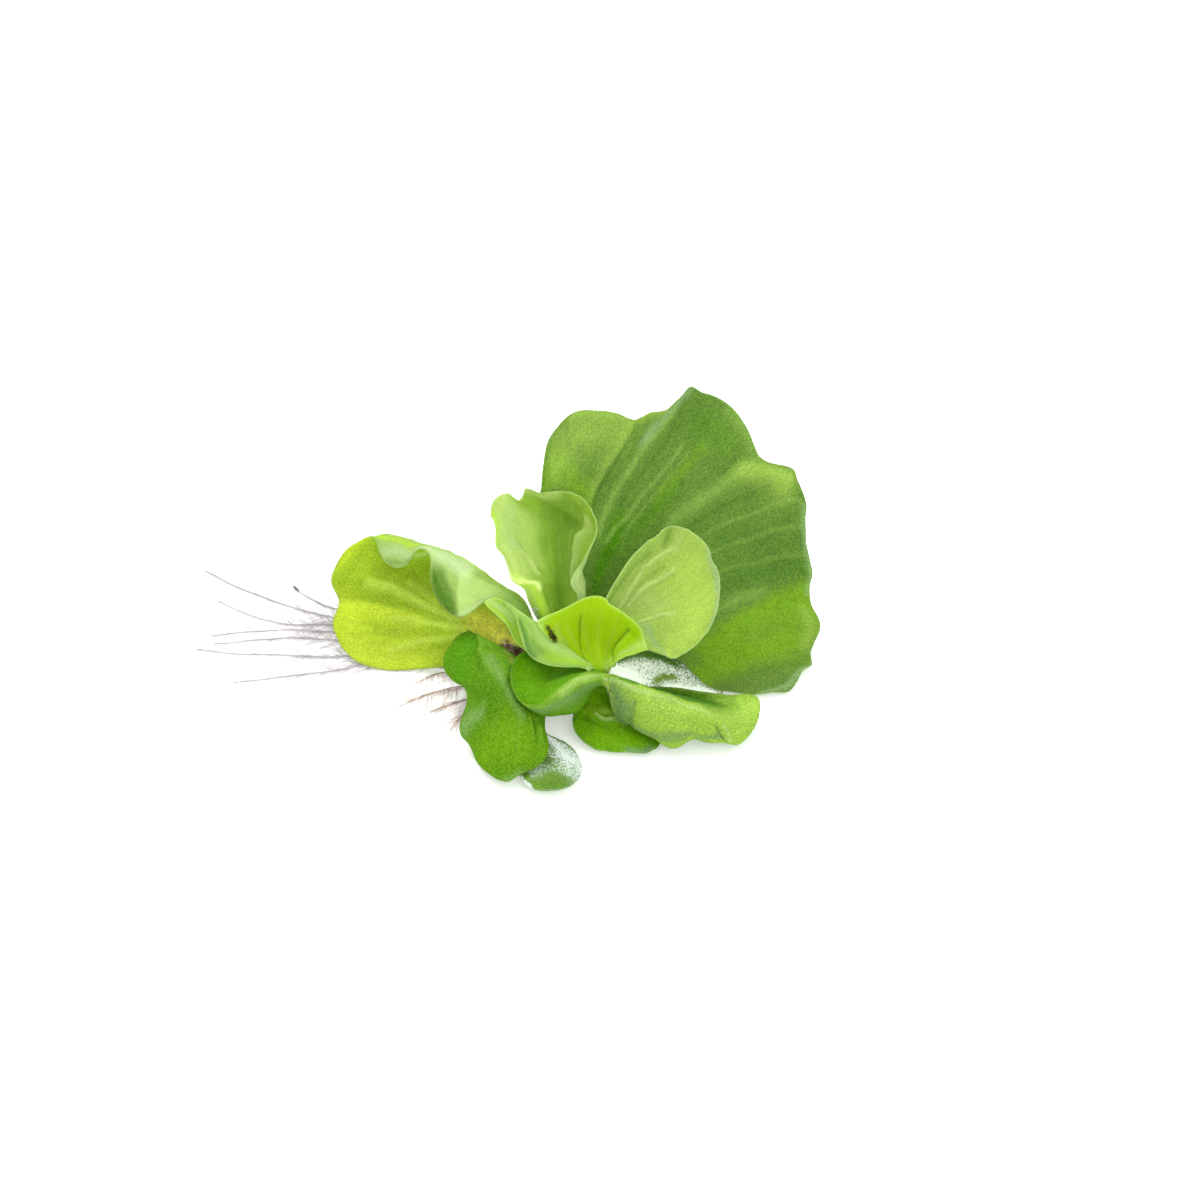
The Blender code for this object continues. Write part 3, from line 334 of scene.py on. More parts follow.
# What each leaf looks like: its greens, how many nerves it has, its ruffle as (mm high, waves), the height
# of its puckers in mm, and how strong its velvet of hairs is. ribs and rib_paleness are for ribs that stand
# out below, and edging is how pale its rim is.
# Its strokes are drawn over the photograph, each as (tint, points in its pixels, width in mm, strength, mm
# raised): strokes on the upper face, under_strokes on the lower. A width that is a pair is that on the left
# of the line and that on its right, for a crisp side. A stroke with no tint only raises or lowers the leaf,
# and one with a strength below 0 takes its tint away again. An outline moves an edge of the leaf on to
# points of the photograph: its rim, or the side it starts or ends with.
# Many tints are painted light and shade: the darker greens are painted shade in hollows, creases and under
# other leaves, the yellower and paler ones partly painted light on lit crests, ridges and rims, and the
# bluish ones painted sheen of the hairs and cool shade. The browns and the silvery film are the leaves' own
# colours.
FRESH = dict(slot="leaf_green", nerve="9DBB68", rim="89A65A", hair="B4D040")
YOUNG = dict(slot="leaf_young", nerve="CFDE98", rim="C8DA98", hair="CEE470")
LOOKS = {
    "back": dict(
        FRESH, top="6B8D3E", under="98B270", nerves=15, ruffle=(0.12, 17), pucker=0.16, velvet=0.52,
        ribs=0.5, rib_paleness=5.0,
        # Its darker greens are partly its own dark green and partly painted shade in its valleys, grooves
        # and near its foot; its lighter and yellower greens are pale nerves and painted light on its lobes,
        # crests and pleat ridges; its bluish pale green is painted sheen along its rims.
        tints=dict(deep_green_and_shade="4F8C00", shade="547E30", mid="8BAF56", sun="80AE1E", lit="ABC95E",
                   sheen_and_cool_shade="9FBD8A"),
        outline=dict(rim=[
            (540, 492), (545, 452), (557, 428), (573, 413), (599, 411), (620, 414), (635, 420), (650, 412),
            (668, 409), (682, 395), (690, 386), (702, 393), (720, 399), (737, 413), (747, 428), (752, 440),
            (758, 455), (771, 463), (794, 470), (797, 480), (805, 499), (807, 505), (805, 518), (806, 542),
            (811, 566), (813, 573), (809, 588), (810, 604), (818, 618), (820, 628), (814, 642), (810, 652),
            (812, 666), (802, 671), (796, 683), (790, 690), (771, 693), (754, 695)]),
        strokes=[
            ("lit", [(556, 462), (575, 438), (600, 424), (622, 426)], 6.0, 0.5, 0.2),
            ("sun", [(546, 490), (556, 470), (572, 480), (588, 496)], 3.2, 0.6, 0.0),
            ("lit", [(592, 499), (602, 477), (611, 463), (620, 449), (630, 435), (635, 420)],
             (2.6, 0.35), 0.45, 0.0),
            ("lit", [(572, 416), (600, 414), (622, 418)], 1.0, 0.5, 0.0),
            ("shade", [(594, 502), (604, 480), (615, 461), (624, 445), (637, 424)],
             (0.3, 2.0), 0.75, -0.5),
            ("mid", [(600, 530), (612, 502), (630, 470), (650, 440), (672, 414)], 1.5, 0.85, 0.4),
            ("sheen_and_cool_shade", [(645, 440), (657, 426), (672, 410), (688, 391)], 1.6, 0.6, 0.0),
            ("lit", [(640, 420), (652, 414), (666, 411)], 1.3, 0.6, 0.0),
            ("shade", [(622, 506), (642, 474), (662, 448), (684, 418)], 1.1, 0.6, -0.2),
            ("mid", [(606, 542), (629, 517), (643, 496), (663, 472), (682, 446)], 0.7, 0.7, 0.25),
            ("mid", [(622, 536), (645, 508), (668, 482), (690, 452)], 0.5, 0.45, 0.12),
            ("deep_green_and_shade", [(598, 578), (606, 556), (618, 532)], 5.0, 0.95, 0.0),
            ("deep_green_and_shade", [(636, 528), (655, 508), (672, 492)], 3.2, 0.45, 0.0),
            ("sun", [(660, 500), (684, 470), (700, 450)], 2.0, 0.4, 0.15),
            ("shade", [(690, 398), (698, 415), (702, 436)], 4.0, 0.55, 0.0),
            ("mid", [(730, 410), (744, 430), (752, 448)], 1.5, 0.6, 0.0),
            ("deep_green_and_shade", [(700, 424), (716, 432), (730, 446)], 3.0, 0.35, 0.0),
            ("lit", [(744, 468), (764, 467), (790, 478)], (1.6, 4.0), 0.9, 0.2),
            ("mid", [(668, 524), (690, 510), (712, 495), (735, 478), (757, 462)], 2.2, 0.85, 0.5),
            ("shade", [(682, 532), (705, 517), (735, 500), (765, 488)], (0.3, 2.0), 0.45, -0.3),
            ("mid", [(712, 532), (750, 514), (800, 499)], 0.5, 0.55, 0.1),
            ("mid", [(712, 552), (752, 539), (803, 527)], 0.5, 0.45, 0.1),
            ("mid", [(718, 574), (758, 563), (806, 553)], 0.45, 0.4, 0.1),
            ("shade", [(718, 545), (760, 540), (803, 536)], 5.0, 0.5, 0.0),
            ("shade", [(730, 580), (770, 572), (806, 566)], 4.2, 0.75, -0.2),
            ("mid", [(714, 610), (736, 599), (762, 592)], 1.8, 0.7, 0.3),
            ("sheen_and_cool_shade", [(806, 508), (807, 545), (812, 570), (808, 592)], 0.8, 0.55, 0.0),
            ("sun", [(704, 646), (725, 627), (750, 615), (775, 604), (808, 591)], (2.6, 9.0), 0.85, 0.4),
            ("sun", [(696, 678), (740, 652), (790, 640)], 6.0, 0.85, 0.0),
            ("deep_green_and_shade", [(704, 637), (725, 633), (748, 632)], 0.8, 0.6, -0.2),
            ("deep_green_and_shade", [(688, 650), (715, 646), (735, 645)], 0.6, 0.45, -0.15),
            ("lit", [(805, 612), (812, 628), (806, 645)], 1.8, 0.45, 0.0),
            ("shade", [(740, 672), (770, 666), (804, 660)], 1.5, 0.55, -0.3),
            ("sheen_and_cool_shade", [(812, 668), (795, 675), (780, 688), (758, 695)], (1.4, 0.8), 0.6, 0.4),
            (None, [(660, 560), (700, 545), (760, 535)], 2.4, 0.0, 0.35),
            (None, [(650, 620), (700, 600), (740, 590)], 2.4, 0.0, -0.3),
        ]),
    "inner_left": dict(
        YOUNG, top="8BAD3A", under="B0CA7C", nerves=9, ruffle=(0.1, 9), pucker=0.1, velvet=0.16,
        ribs=0.3, rib_paleness=4.0,
        # Its darker green is painted shade in its folds and valleys; its paler and yellower greens are
        # partly its young colour and partly painted light on its ridges and its lit lip; its bluish green
        # is painted sheen.
        tints=dict(deep_green_and_shade="6E9628", pale="BCD07C", sun="BADC48", sheen_and_cool_shade="ACC68A", lip_highlight="E6F29C"),
        outline=dict(rim=[
            (491, 510), (492, 504), (497, 497), (504, 494), (510, 494), (514, 498), (517, 500), (521, 498),
            (524, 494), (525, 488), (529, 489), (535, 491), (541, 493), (550, 492), (560, 491), (570, 492),
            (578, 495), (585, 500), (591, 509), (596, 519)],
            start=[(537, 618), (528, 600), (519, 585), (510, 579), (508, 568), (503, 555), (496, 548),
                   (496, 533), (493, 519)]),
        strokes=[
            ("pale", [(522, 585), (514, 563), (504, 540), (500, 520), (503, 502)], (5.0, 4.0), 0.95, 0.0),
            ("pale", [(530, 560), (524, 540), (521, 515)], (3.0, 3.0), 0.6, 0.0),
            ("sun", [(494, 514), (495, 540)], 0.9, 0.7, 0.0),
            ("sheen_and_cool_shade", [(512, 545), (508, 528), (511, 508)], 1.6, 0.5, 0.0),
            ("deep_green_and_shade", [(562, 600), (560, 570), (557, 535), (561, 505)], (2.8, 3.8), 0.9, -0.3),
            ("deep_green_and_shade", [(550, 498), (562, 500), (576, 506)], 1.8, 0.5, 0.0),
            ("deep_green_and_shade", [(541, 545), (540, 520), (541, 503)], (0.5, 3.5), 0.45, 0.0),
            ("deep_green_and_shade", [(570, 572), (571, 548), (576, 533)], (2.2, 0.3), 0.45, -0.2),
            ("pale", [(571, 573), (572, 560), (573, 547), (577, 534), (585, 520)], (0.3, 3.2), 0.6, 0.5),
            ("sun", [(545, 616), (540, 603), (536, 593), (530, 586), (518, 582)], 2.3, 0.9, 0.0),
            ("lip_highlight", [(508, 576), (515, 581), (526, 581), (535, 582), (540, 587)], 0.7, 0.9, 0.25),
            ("deep_green_and_shade", [(552, 614), (547, 600), (544, 589)], 0.6, 0.7, -0.35),
            ("pale", [(539, 575), (531, 562), (522, 551), (514, 541)], 0.4, 0.8, 0.4),
            ("deep_green_and_shade", [(541, 573), (533, 560), (524, 549)], (0.3, 1.8), 0.5, -0.35),
            ("pale", [(527, 492), (540, 496), (556, 494)], 0.9, 0.5, 0.0),
            ("deep_green_and_shade", [(578, 590), (576, 578), (574, 568)], 1.6, 0.6, 0.0),
        ]),
    "inner_right": dict(
        YOUNG, top="A3BF58", under="B4CB88", nerves=9, ruffle=(0.12, 13), pucker=0.12, velvet=0.32,
        ribs=0.3, rib_paleness=4.0,
        # Its darker green is painted shade in its creases; its paler and yellower greens are painted light
        # on its ridges and its lit right side; its bluish green is painted sheen along its right rim and
        # painted shade where it meets the heart leaf.
        tints=dict(deep_green_and_shade="7FA247", sun="BAD45C", pale="C4DC82", sheen_and_cool_shade="9CB48C"),
        outline=dict(rim=[
            (649, 540), (655, 537), (658, 535), (661, 531), (666, 528), (671, 526), (680, 527), (686, 529),
            (693, 533), (700, 538), (706, 544), (710, 551), (711, 557), (712, 562), (716, 566), (719, 573),
            (720, 586), (719, 600), (716, 615), (711, 626), (704, 636), (697, 644), (689, 649)]),
        strokes=[
            ("sun", [(680, 575), (700, 600), (690, 630)], 7.0, 0.8, 0.0),
            ("pale", [(622, 596), (640, 600), (660, 606)], 3.2, 0.35, 0.0),
            ("deep_green_and_shade", [(611, 602), (622, 585), (635, 568), (650, 556)], (3.0, 0.6), 0.65, -0.3),
            ("pale", [(619, 608), (630, 590), (643, 568), (657, 558), (672, 549)],
             (0.35, 0.9), 0.85, 0.35),
            ("deep_green_and_shade", [(625, 606), (636, 592), (648, 578), (664, 568)], 0.8, 0.35, -0.3),
            ("pale", [(629, 606), (640, 592), (651, 583), (674, 571)], 0.6, 0.85, 0.35),
            ("deep_green_and_shade", [(640, 605), (655, 597), (672, 590)], 1.6, 0.15, 0.0),
            ("pale", [(641, 621), (656, 615), (672, 613)], 0.7, 0.8, 0.3),
            ("deep_green_and_shade", [(655, 632), (670, 628)], 3.0, 0.2, 0.0),
            ("deep_green_and_shade", [(666, 543), (670, 534), (668, 528)], (1.6, 1.6), 0.9, -0.7),
            ("pale", [(676, 550), (680, 538)], 1.2, 0.4, 0.2),
            ("sheen_and_cool_shade", [(711, 626), (717, 608), (718, 585), (714, 565), (708, 550)], 0.9, 0.7, 0.0),
            ("sheen_and_cool_shade", [(664, 653), (657, 645), (650, 636), (645, 624)], 0.9, 0.5, 0.0),
            ("sun", [(668, 655), (672, 645)], 1.4, 0.8, 0.0),
        ]),
    "heart": dict(
        YOUNG, top="A0C600", under="9FBE4A", nerves=7, rim="C6DE7C", edging=0.55, ruffle=(0.05, 5),
        pucker=0.06,
        # Its darker green is painted shade in its creases and in the shadow that the inner right leaf casts
        # along its right rim; its yellower and paler greens are painted light on its hood and its rim.
        velvet=0.08, tints=dict(deep_green_and_shade="709600", sun="B0D410", pale="BCD672"),
        outline=dict(rim=[
            (538, 622), (540, 618), (544, 616), (550, 614), (559, 611), (567, 607), (580, 600), (588, 597),
            (598, 596), (607, 600), (613, 606), (625, 614), (633, 620), (640, 627), (643, 635), (645, 643),
            (648, 650)],
            start=[(592, 668), (584, 664), (574, 659), (562, 651), (551, 641), (545, 634), (540, 628),
                   (538, 622)],
            end=[(604, 668), (610, 664), (617, 661), (623, 658), (633, 655), (640, 652), (647, 650)]),
        strokes=[
            ("sun", [(552, 619), (575, 612), (592, 604), (612, 612)], 2.4, 0.7, 0.0),
            ("sun", [(566, 634), (574, 648)], 2.4, 0.6, 0.0),
            ("sun", [(596, 640), (598, 655)], 2.0, 0.5, 0.0),
            ("pale", [(540, 628), (540, 620), (546, 616)], 0.7, 0.85, 0.0),
            ("pale", [(556, 626), (560, 635), (567, 644)], 0.5, 0.4, 0.0),
            ("deep_green_and_shade", [(587, 661), (582, 646), (581, 632), (582, 617)], 0.5, 0.95, -0.5),
            ("deep_green_and_shade", [(607, 665), (611, 652), (617, 642), (627, 630)], 0.55, 0.9, -0.5),
            ("deep_green_and_shade", [(606, 662), (610, 650), (618, 640)], (2.6, 0.8), 0.35, 0.0),
            ("deep_green_and_shade", [(569, 645), (562, 625)], 0.5, 0.4, -0.2),
            ("deep_green_and_shade", [(630, 632), (640, 642)], 1.0, 0.3, 0.0),
            ("pale", [(620, 654), (632, 649), (643, 645)], 1.4, 0.7, 0.0),
            ("pale", [(604, 665), (612, 660)], 1.0, 0.4, 0.0),
            ("deep_green_and_shade", [(636, 624), (641, 632), (644, 641), (647, 649)], 0.35, 0.7, 0.0),
        ]),
    "folded": dict(
        YOUNG, top="B0D244", under="A1C45C", nerves=5, rim="CBDE9C", ruffle=(0.05, 3), pucker=0.05,
        velvet=0.14,
        # Its shade green is painted shade along its fold; its paler and yellower greens are painted light
        # on its lit flap and outer side.
        tints=dict(shade="5C8A3C", pale="C0DA88", sun="A6D238"),
        outline=dict(end=[(597, 668), (594, 673), (588, 671), (584, 666), (573, 667), (560, 667),
                          (547, 665), (535, 660), (527, 652), (522, 641), (518, 626), (512, 611)]),
        strokes=[
            ("sun", [(520, 650), (517, 641), (512, 630)], 1.2, 0.9, 0.0),
            ("pale", [(493, 605), (502, 610), (509, 617)], 2.0, 0.9, 0.0),
        ],
        under_strokes=[
            ("shade", [(533, 655), (527, 645), (523, 634), (519, 622)], (0.5, 1.3), 0.9, -0.3),
            ("pale", [(503, 604), (512, 603), (525, 614), (538, 630), (552, 645)], 1.2, 0.7, 0.2),
            ("pale", [(552, 645), (570, 654), (586, 661)], 0.8, 0.5, 0.1),
            ("shade", [(532, 640), (540, 650), (550, 657)], 1.0, 0.45, 0.0),
            ("sun", [(548, 657), (562, 660), (585, 664)], 1.6, 0.8, 0.0),
            ("pale", [(588, 660), (592, 670)], 0.9, 0.7, 0.5),
        ]),
    "left": dict(
        FRESH, top="A8C030", under="A6C46C", nerves=11, slot="leaf_old", rim="929C62", nerve="C4D670",
        hair="D4E65A",
        ruffle=(0.06, 6), pucker=0.14, velvet=0.46,
        # Its darker greens are painted shade in its folds and in the hollow under its roll; its yellower
        # and paler greens are partly its yellowing and partly painted light on its crests and rolled flap;
        # its bluish white is painted sheen. The tan and the scar are its base's own colours.
        tints=dict(deep_green_and_shade="88A21A", sun="D0E03E", lit="C6D85A", tan="FAF064", scar="7A5650", pocket_shade="4F7F22",
                   pale="C8E28C", sheen_and_cool_shade="CFDFB8", olive="9DB658", bend="B6D440"),
        outline=dict(
            end=[(484, 603), (473, 611), (462, 617), (451, 613), (445, 608), (439, 602), (434, 592),
                 (431, 582), (430, 572), (431, 563), (430, 556), (427, 551), (422, 549), (417, 550),
                 (413, 554), (412, 559), (409, 564), (402, 567), (393, 567), (385, 562), (380, 554),
                 (378, 543)]),
        strokes=[
            ("sun", [(345, 620), (350, 645), (375, 662), (410, 665)], 6.0, 0.8, 0.0),
            ("sun", [(342, 603), (365, 606), (389, 610), (417, 616)], (0.3, 3.0), 0.7, 0.5),
            ("deep_green_and_shade", [(339, 597), (362, 599), (389, 604), (417, 610), (445, 617), (464, 622)],
             (3.4, 0.3), 0.8, -0.5),
            ("lit", [(367, 581), (389, 585), (411, 594), (431, 606), (450, 616)], (0.6, 1.4), 0.75, 0.45),
            ("deep_green_and_shade", [(385, 572), (405, 578), (430, 590)], 2.6, 0.6, -0.3),
            ("lit", [(410, 584), (425, 592), (436, 602)], 1.2, 0.4, 0.0),
            ("deep_green_and_shade", [(400, 571), (418, 572), (428, 570)], 1.8, 0.5, 0.0),
            ("deep_green_and_shade", [(340, 590), (344, 575)], 2.6, 0.35, 0.0),
            ("sun", [(346, 558), (358, 543), (380, 538)], 2.2, 0.8, 0.0),
            ("lit", [(395, 617), (431, 622), (464, 628)], (0.5, 0.8), 0.7, 0.4),
            ("deep_green_and_shade", [(395, 615), (431, 620), (460, 625)], (1.4, 0.3), 0.35, -0.2),
            ("deep_green_and_shade", [(380, 632), (410, 633), (440, 634)], 1.6, 0.4, -0.3),
            ("lit", [(389, 652), (425, 641), (451, 636), (470, 632)], 0.8, 0.6, 0.4),
            ("deep_green_and_shade", [(405, 655), (430, 650), (445, 645)], 1.8, 0.4, -0.2),
            ("lit", [(455, 618), (470, 624)], 2.4, 0.8, 0.0),
            ("pale", [(415, 556), (423, 553), (430, 558)], 1.1, 0.9, 0.0),
            ("tan", [(480, 619), (490, 625), (500, 633), (508, 641)], 4.2, 1.0, 0.0),
            ("scar", [(503, 645), (511, 648), (519, 653)], 0.8, 0.9, 0.3),
        ],
        under_strokes=[
            ("bend", [(366, 539), (371, 545), (375, 551)], 1.0, 0.9, 0.0),
            ("bend", [(366, 539), (382, 537), (400, 539), (414, 545)], 1.3, 0.95, 0.0),
            ("sheen_and_cool_shade", [(425, 546), (445, 556), (465, 568)], 2.2, 0.75, 0.0),
            ("pale", [(470, 575), (490, 590)], 2.4, 0.5, 0.0),
            ("olive", [(478, 575), (495, 583), (512, 593), (529, 611)], 1.5, 0.9, 0.0),
            ("pocket_shade", [(452, 611), (444, 603), (438, 590), (435, 576)], (2.0, 2.6), 1.0, -0.5),
            ("pocket_shade", [(455, 606), (449, 595), (443, 580)], (3.0, 1.2), 0.65, -0.3),
            ("pale", [(459, 611), (458, 595), (459, 577)], (0.7, 6.5), 0.9, 0.5),
            ("sheen_and_cool_shade", [(452, 557), (472, 570), (488, 581), (504, 591), (518, 602)], 0.3, 0.7, 0.25),
            ("pale", [(482, 580), (496, 587), (509, 595), (519, 602), (528, 613)], 0.5, 0.95, 0.3),
            ("pocket_shade", [(480, 573), (495, 581), (509, 588), (519, 596)], 0.4, 0.5, -0.2),
            ("sheen_and_cool_shade", [(462, 612), (476, 604), (487, 596)], 1.2, 0.4, 0.0),
            ("sheen_and_cool_shade", [(386, 552), (400, 550), (408, 555)], 1.8, 0.4, 0.0),
            ("pocket_shade", [(390, 562), (400, 563), (408, 559)], 0.9, 0.5, 0.0),
            ("pocket_shade", [(489, 578), (507, 594), (524, 608)], (0.3, 0.8), 0.3, 0.0),
        ]),
    "front_left": dict(
        FRESH, top="5E9604", under="8CAC60", nerves=9, ruffle=(0.08, 12), pucker=0.2, velvet=0.52,
        rim="6C943A",
        # Its darker green is painted shade in its valleys; its grey and bluish greens are painted sheen of
        # its hairs on its ridge and humps; its yellower green is partly painted light. Its lush green and
        # tan are its own colours.
        tints=dict(deep_green_and_shade="427A04", lush="529C00", sun="7CAC0E", grey="7AAE2C", sheen_and_cool_shade="84AC60",
                   tan="B6BC62"),
        outline=dict(
            rim=[(545, 718), (545, 728), (547, 740), (548, 750), (545, 759), (537, 767), (527, 772),
                 (518, 776), (512, 780), (507, 782), (503, 781), (495, 778), (488, 773), (482, 768),
                 (477, 761), (473, 752), (469, 744), (463, 738), (460, 732), (460, 724), (463, 716),
                 (467, 708), (467, 700), (466, 692), (462, 686), (455, 682), (448, 675), (444, 668),
                 (443, 660), (446, 651), (452, 643), (460, 635), (468, 630)]),
        strokes=[
            ("lush", [(470, 640), (460, 655), (460, 672)], 5.5, 0.85, 0.0),
            ("deep_green_and_shade", [(464, 633), (474, 631), (478, 636)], 1.0, 0.7, 0.0),
            ("grey", [(502, 680), (490, 668), (483, 655), (481, 642), (478, 634)], (0.25, 5.4), 0.95, 0.4),
            ("deep_green_and_shade", [(482, 668), (480, 655), (477, 640)], (2.0, 0.3), 0.35, -0.2),
            ("sheen_and_cool_shade", [(490, 656), (498, 670), (506, 686), (514, 702), (524, 714)], (1.0, 1.8), 0.6, 0.3),
            ("lush", [(500, 658), (507, 667)], 1.5, 0.8, 0.0),
            ("tan", [(505, 650), (510, 657), (513, 664)], 1.0, 0.7, 0.0),
            ("sheen_and_cool_shade", [(463, 730), (467, 718), (478, 714)], 2.2, 0.75, 0.0),
            ("deep_green_and_shade", [(474, 690), (488, 694), (500, 702)], 2.8, 0.45, -0.2),
            ("deep_green_and_shade", [(485, 712), (497, 720)], 3.2, 0.4, -0.3),
            ("sun", [(488, 750), (505, 733), (525, 745)], 5.0, 0.65, 0.3),
            ("deep_green_and_shade", [(480, 762), (503, 772), (530, 765)], 2.0, 0.55, 0.0),
            ("grey", [(541, 716), (542, 738)], 1.0, 0.9, 0.2),
            ("grey", [(531, 716), (533, 732)], 0.6, 0.7, 0.2),
            ("deep_green_and_shade", [(535, 722), (537, 740)], 0.8, 0.5, -0.4),
            ("sheen_and_cool_shade", [(505, 782), (512, 778), (520, 774)], 0.8, 0.6, 0.0),
        ]),
    "low_left": dict(
        FRESH, top="6F9638", under="A0B692", nerves=7, rim="A8B8A4", slot="leaf_silvery", ruffle=(0.1, 5),
        velvet=0.5, tints=dict(deep_green_and_shade="54822A", ash="A2B4A8", frost="BECAC6"),
        outline=dict(rim=[
            (556, 739), (565, 743), (574, 750), (580, 760), (582, 768), (579, 777), (572, 785), (559, 790),
            (542, 791), (530, 788), (522, 779)]),
        strokes=[
            ("frost", [(548, 735), (558, 746), (566, 755)], 3.4, 0.85, 0.0),
            ("frost", [(547, 750), (555, 758), (567, 764)], 2.0, 0.35, 0.0),
            ("ash", [(550, 738), (564, 747), (576, 760), (580, 773)], 3.4, 0.9, 0.0),
            ("frost", [(566, 746), (577, 757), (581, 770)], 1.6, 0.45, 0.0),
            ("frost", [(530, 774), (546, 767), (562, 768), (575, 777)], 1.3, 0.34, 0.0),
            ("frost", [(522, 778), (530, 787)], 1.0, 0.7, 0.0),
            ("deep_green_and_shade", [(545, 786), (565, 784)], 1.4, 0.5, 0.0),
        ]),
    "scoop": dict(
        FRESH, top="64A200", under="8AAE60", nerves=7, rim="6E9A44", ruffle=(0.05, 5), pucker=0.06,
        velvet=0.42,
        # Its darker green is painted shade along its left side and lower rim; its yellower and paler greens
        # are painted light on its crest and flank; its bluish green is painted sheen and cool shade on its
        # flank.
        tints=dict(deep_green_and_shade="468200", sun="90BC3C", lit="B8DA74", sheen_and_cool_shade="7FA45E"),
        outline=dict(
            rim=[(583, 706), (578, 710), (572, 713), (558, 716), (547, 715), (533, 712), (525, 705),
                 (515, 695), (511, 683), (511, 670), (514, 661), (518, 656)],
            start=[(603, 684), (597, 686), (592, 692), (587, 699), (583, 706)]),
        strokes=[
            ("deep_green_and_shade", [(514, 665), (514, 683), (522, 698)], 1.6, 0.35, 0.0),
            ("sun", [(528, 706), (542, 702), (552, 695), (564, 686), (580, 678), (600, 673)],
             (0.3, 4.0), 0.8, 0.4),
            ("lit", [(560, 691), (570, 685), (584, 678), (602, 676)], (0.5, 1.5), 0.9, 0.0),
            ("sheen_and_cool_shade", [(534, 710), (550, 707), (566, 700), (580, 692), (594, 685)], (1.6, 2.6), 0.9, 0.0),
            ("deep_green_and_shade", [(545, 716), (560, 716), (574, 712)], 0.5, 0.5, 0.0),
        ]),
    "front_right": dict(
        FRESH, top="A4C84C", under="96B472", nerves=11, rim="84A068", ruffle=(0.08, 12), pucker=0.12,
        velvet=0.66,
        # Its darkest green is painted shade in the hollow behind its crest; its shade and bluish greens are
        # painted shade in its creases, where it turns away and under its rolled side; its yellower and
        # paler greens are painted light on its crest and lit side.
        tints=dict(deep_green_and_shade="347E00", shade="7C9E62", sun="B8DA60", lit="C4DE88", sheen_and_cool_shade="7FA46C"),
        outline=dict(
            rim=[(757, 697), (760, 703), (759, 715), (757, 722), (753, 730), (747, 738), (738, 744),
                 (730, 744)],
            end=[(603, 684), (607, 687), (610, 692), (612, 699), (613, 707), (615, 715), (620, 720),
                 (628, 724), (637, 731), (647, 736), (657, 740), (661, 744), (670, 748), (680, 746),
                 (688, 741), (695, 739), (703, 742), (710, 743), (723, 742), (730, 744)],
            start=[(650, 687), (665, 687), (680, 688), (697, 691), (707, 692), (723, 694), (737, 695),
                   (747, 694), (754, 695)]),
        strokes=[
            ("deep_green_and_shade", [(640, 684), (650, 688), (660, 691), (673, 696), (690, 701), (702, 705)],
             (13.0, 0.25), 1.0, 0.0),
            ("sun", [(718, 700), (735, 702), (752, 703)], 2.5, 0.8, 0.0),
            ("sun", [(650, 702), (680, 712), (720, 715), (745, 712)], 4.0, 0.8, 0.0),
            ("lit", [(598, 676), (615, 680), (630, 685), (650, 692), (674, 700), (690, 706), (712, 714)],
             (0.25, 1.1), 0.75, 0.3),
            ("sheen_and_cool_shade", [(622, 719), (622, 706), (619, 695), (614, 687)], (3.2, 2.6), 0.85, 0.0),
            ("lit", [(616, 714), (614, 704), (612, 694), (606, 685)], 0.4, 0.85, 0.25),
            ("shade", [(629, 724), (631, 714), (634, 702)], (1.6, 0.9), 0.7, -0.5),
            ("shade", [(632, 727), (642, 731), (655, 735), (672, 736), (688, 735)], 1.7, 0.8, 0.0),
            ("sheen_and_cool_shade", [(636, 731), (650, 738), (668, 741), (686, 739)], 0.5, 0.8, -0.4),
            ("shade", [(700, 738), (712, 738), (722, 736)], 1.4, 0.8, 0.0),
            ("sheen_and_cool_shade", [(724, 742), (721, 734), (719, 727)], (0.9, 0.3), 0.8, -0.8),
            ("lit", [(729, 742), (727, 732), (722, 724)], (0.3, 0.9), 0.6, 0.5),
            ("sun", [(740, 735), (750, 722), (754, 705)], 1.8, 0.6, 0.0),
        ]),
    "low_front": dict(
        FRESH, top="6EAA00", under="86A85A", nerves=7, ruffle=(0.08, 9), pucker=0.12, velvet=0.52,
        # Its darker green is painted shade in its creases; its yellower green is painted light where it
        # lies in the shade of the arch above it; its bluish green is painted sheen along its rim.
        tints=dict(deep_green_and_shade="457F00", sun="7CB400", olive="84AC18", lime="A8C44C", pale="D6E8A0",
                   sheen_and_cool_shade="82A07C"),
        outline=dict(rim=[
            (660, 743), (655, 749), (648, 753), (640, 754), (630, 753), (613, 752), (598, 750), (588, 745),
            (579, 737), (574, 728), (573, 720), (575, 713), (583, 706)]),
        strokes=[
            ("sun", [(604, 688), (600, 697), (594, 702)], 3.0, 0.8, 0.0),
            ("olive", [(586, 707), (600, 707), (611, 707)], 0.9, 0.85, 0.2),
            ("lime", [(601, 711), (607, 711), (611, 712)], 0.5, 0.9, 0.2),
            ("deep_green_and_shade", [(600, 714), (606, 716), (612, 715)], 0.3, 0.6, -0.2),
            ("olive", [(583, 709), (590, 711), (597, 714)], 0.6, 0.9, 0.0),
            ("pale", [(597, 714), (602, 718), (607, 720), (614, 719), (621, 720), (628, 724)],
             0.36, 0.75, 0.1),
            ("deep_green_and_shade", [(584, 716), (597, 723), (610, 726), (620, 730)], 1.2, 0.6, -0.3),
            ("sun", [(600, 735), (620, 735), (645, 738)], 2.8, 0.7, 0.0),
            ("deep_green_and_shade", [(576, 720), (580, 735), (592, 744)], 1.0, 0.3, 0.0),
            ("sheen_and_cool_shade", [(630, 753), (643, 754), (653, 749)], 1.1, 0.9, 0.2),
        ]),
    "low_right": dict(
        FRESH, top="8CA874", under="ACBEA0", nerves=7, rim="6E8E4C", slot="leaf_silvery", ruffle=(0.1, 7),
        # Its dark green is painted shade along its upper edge, under the heart and the inner right leaf.
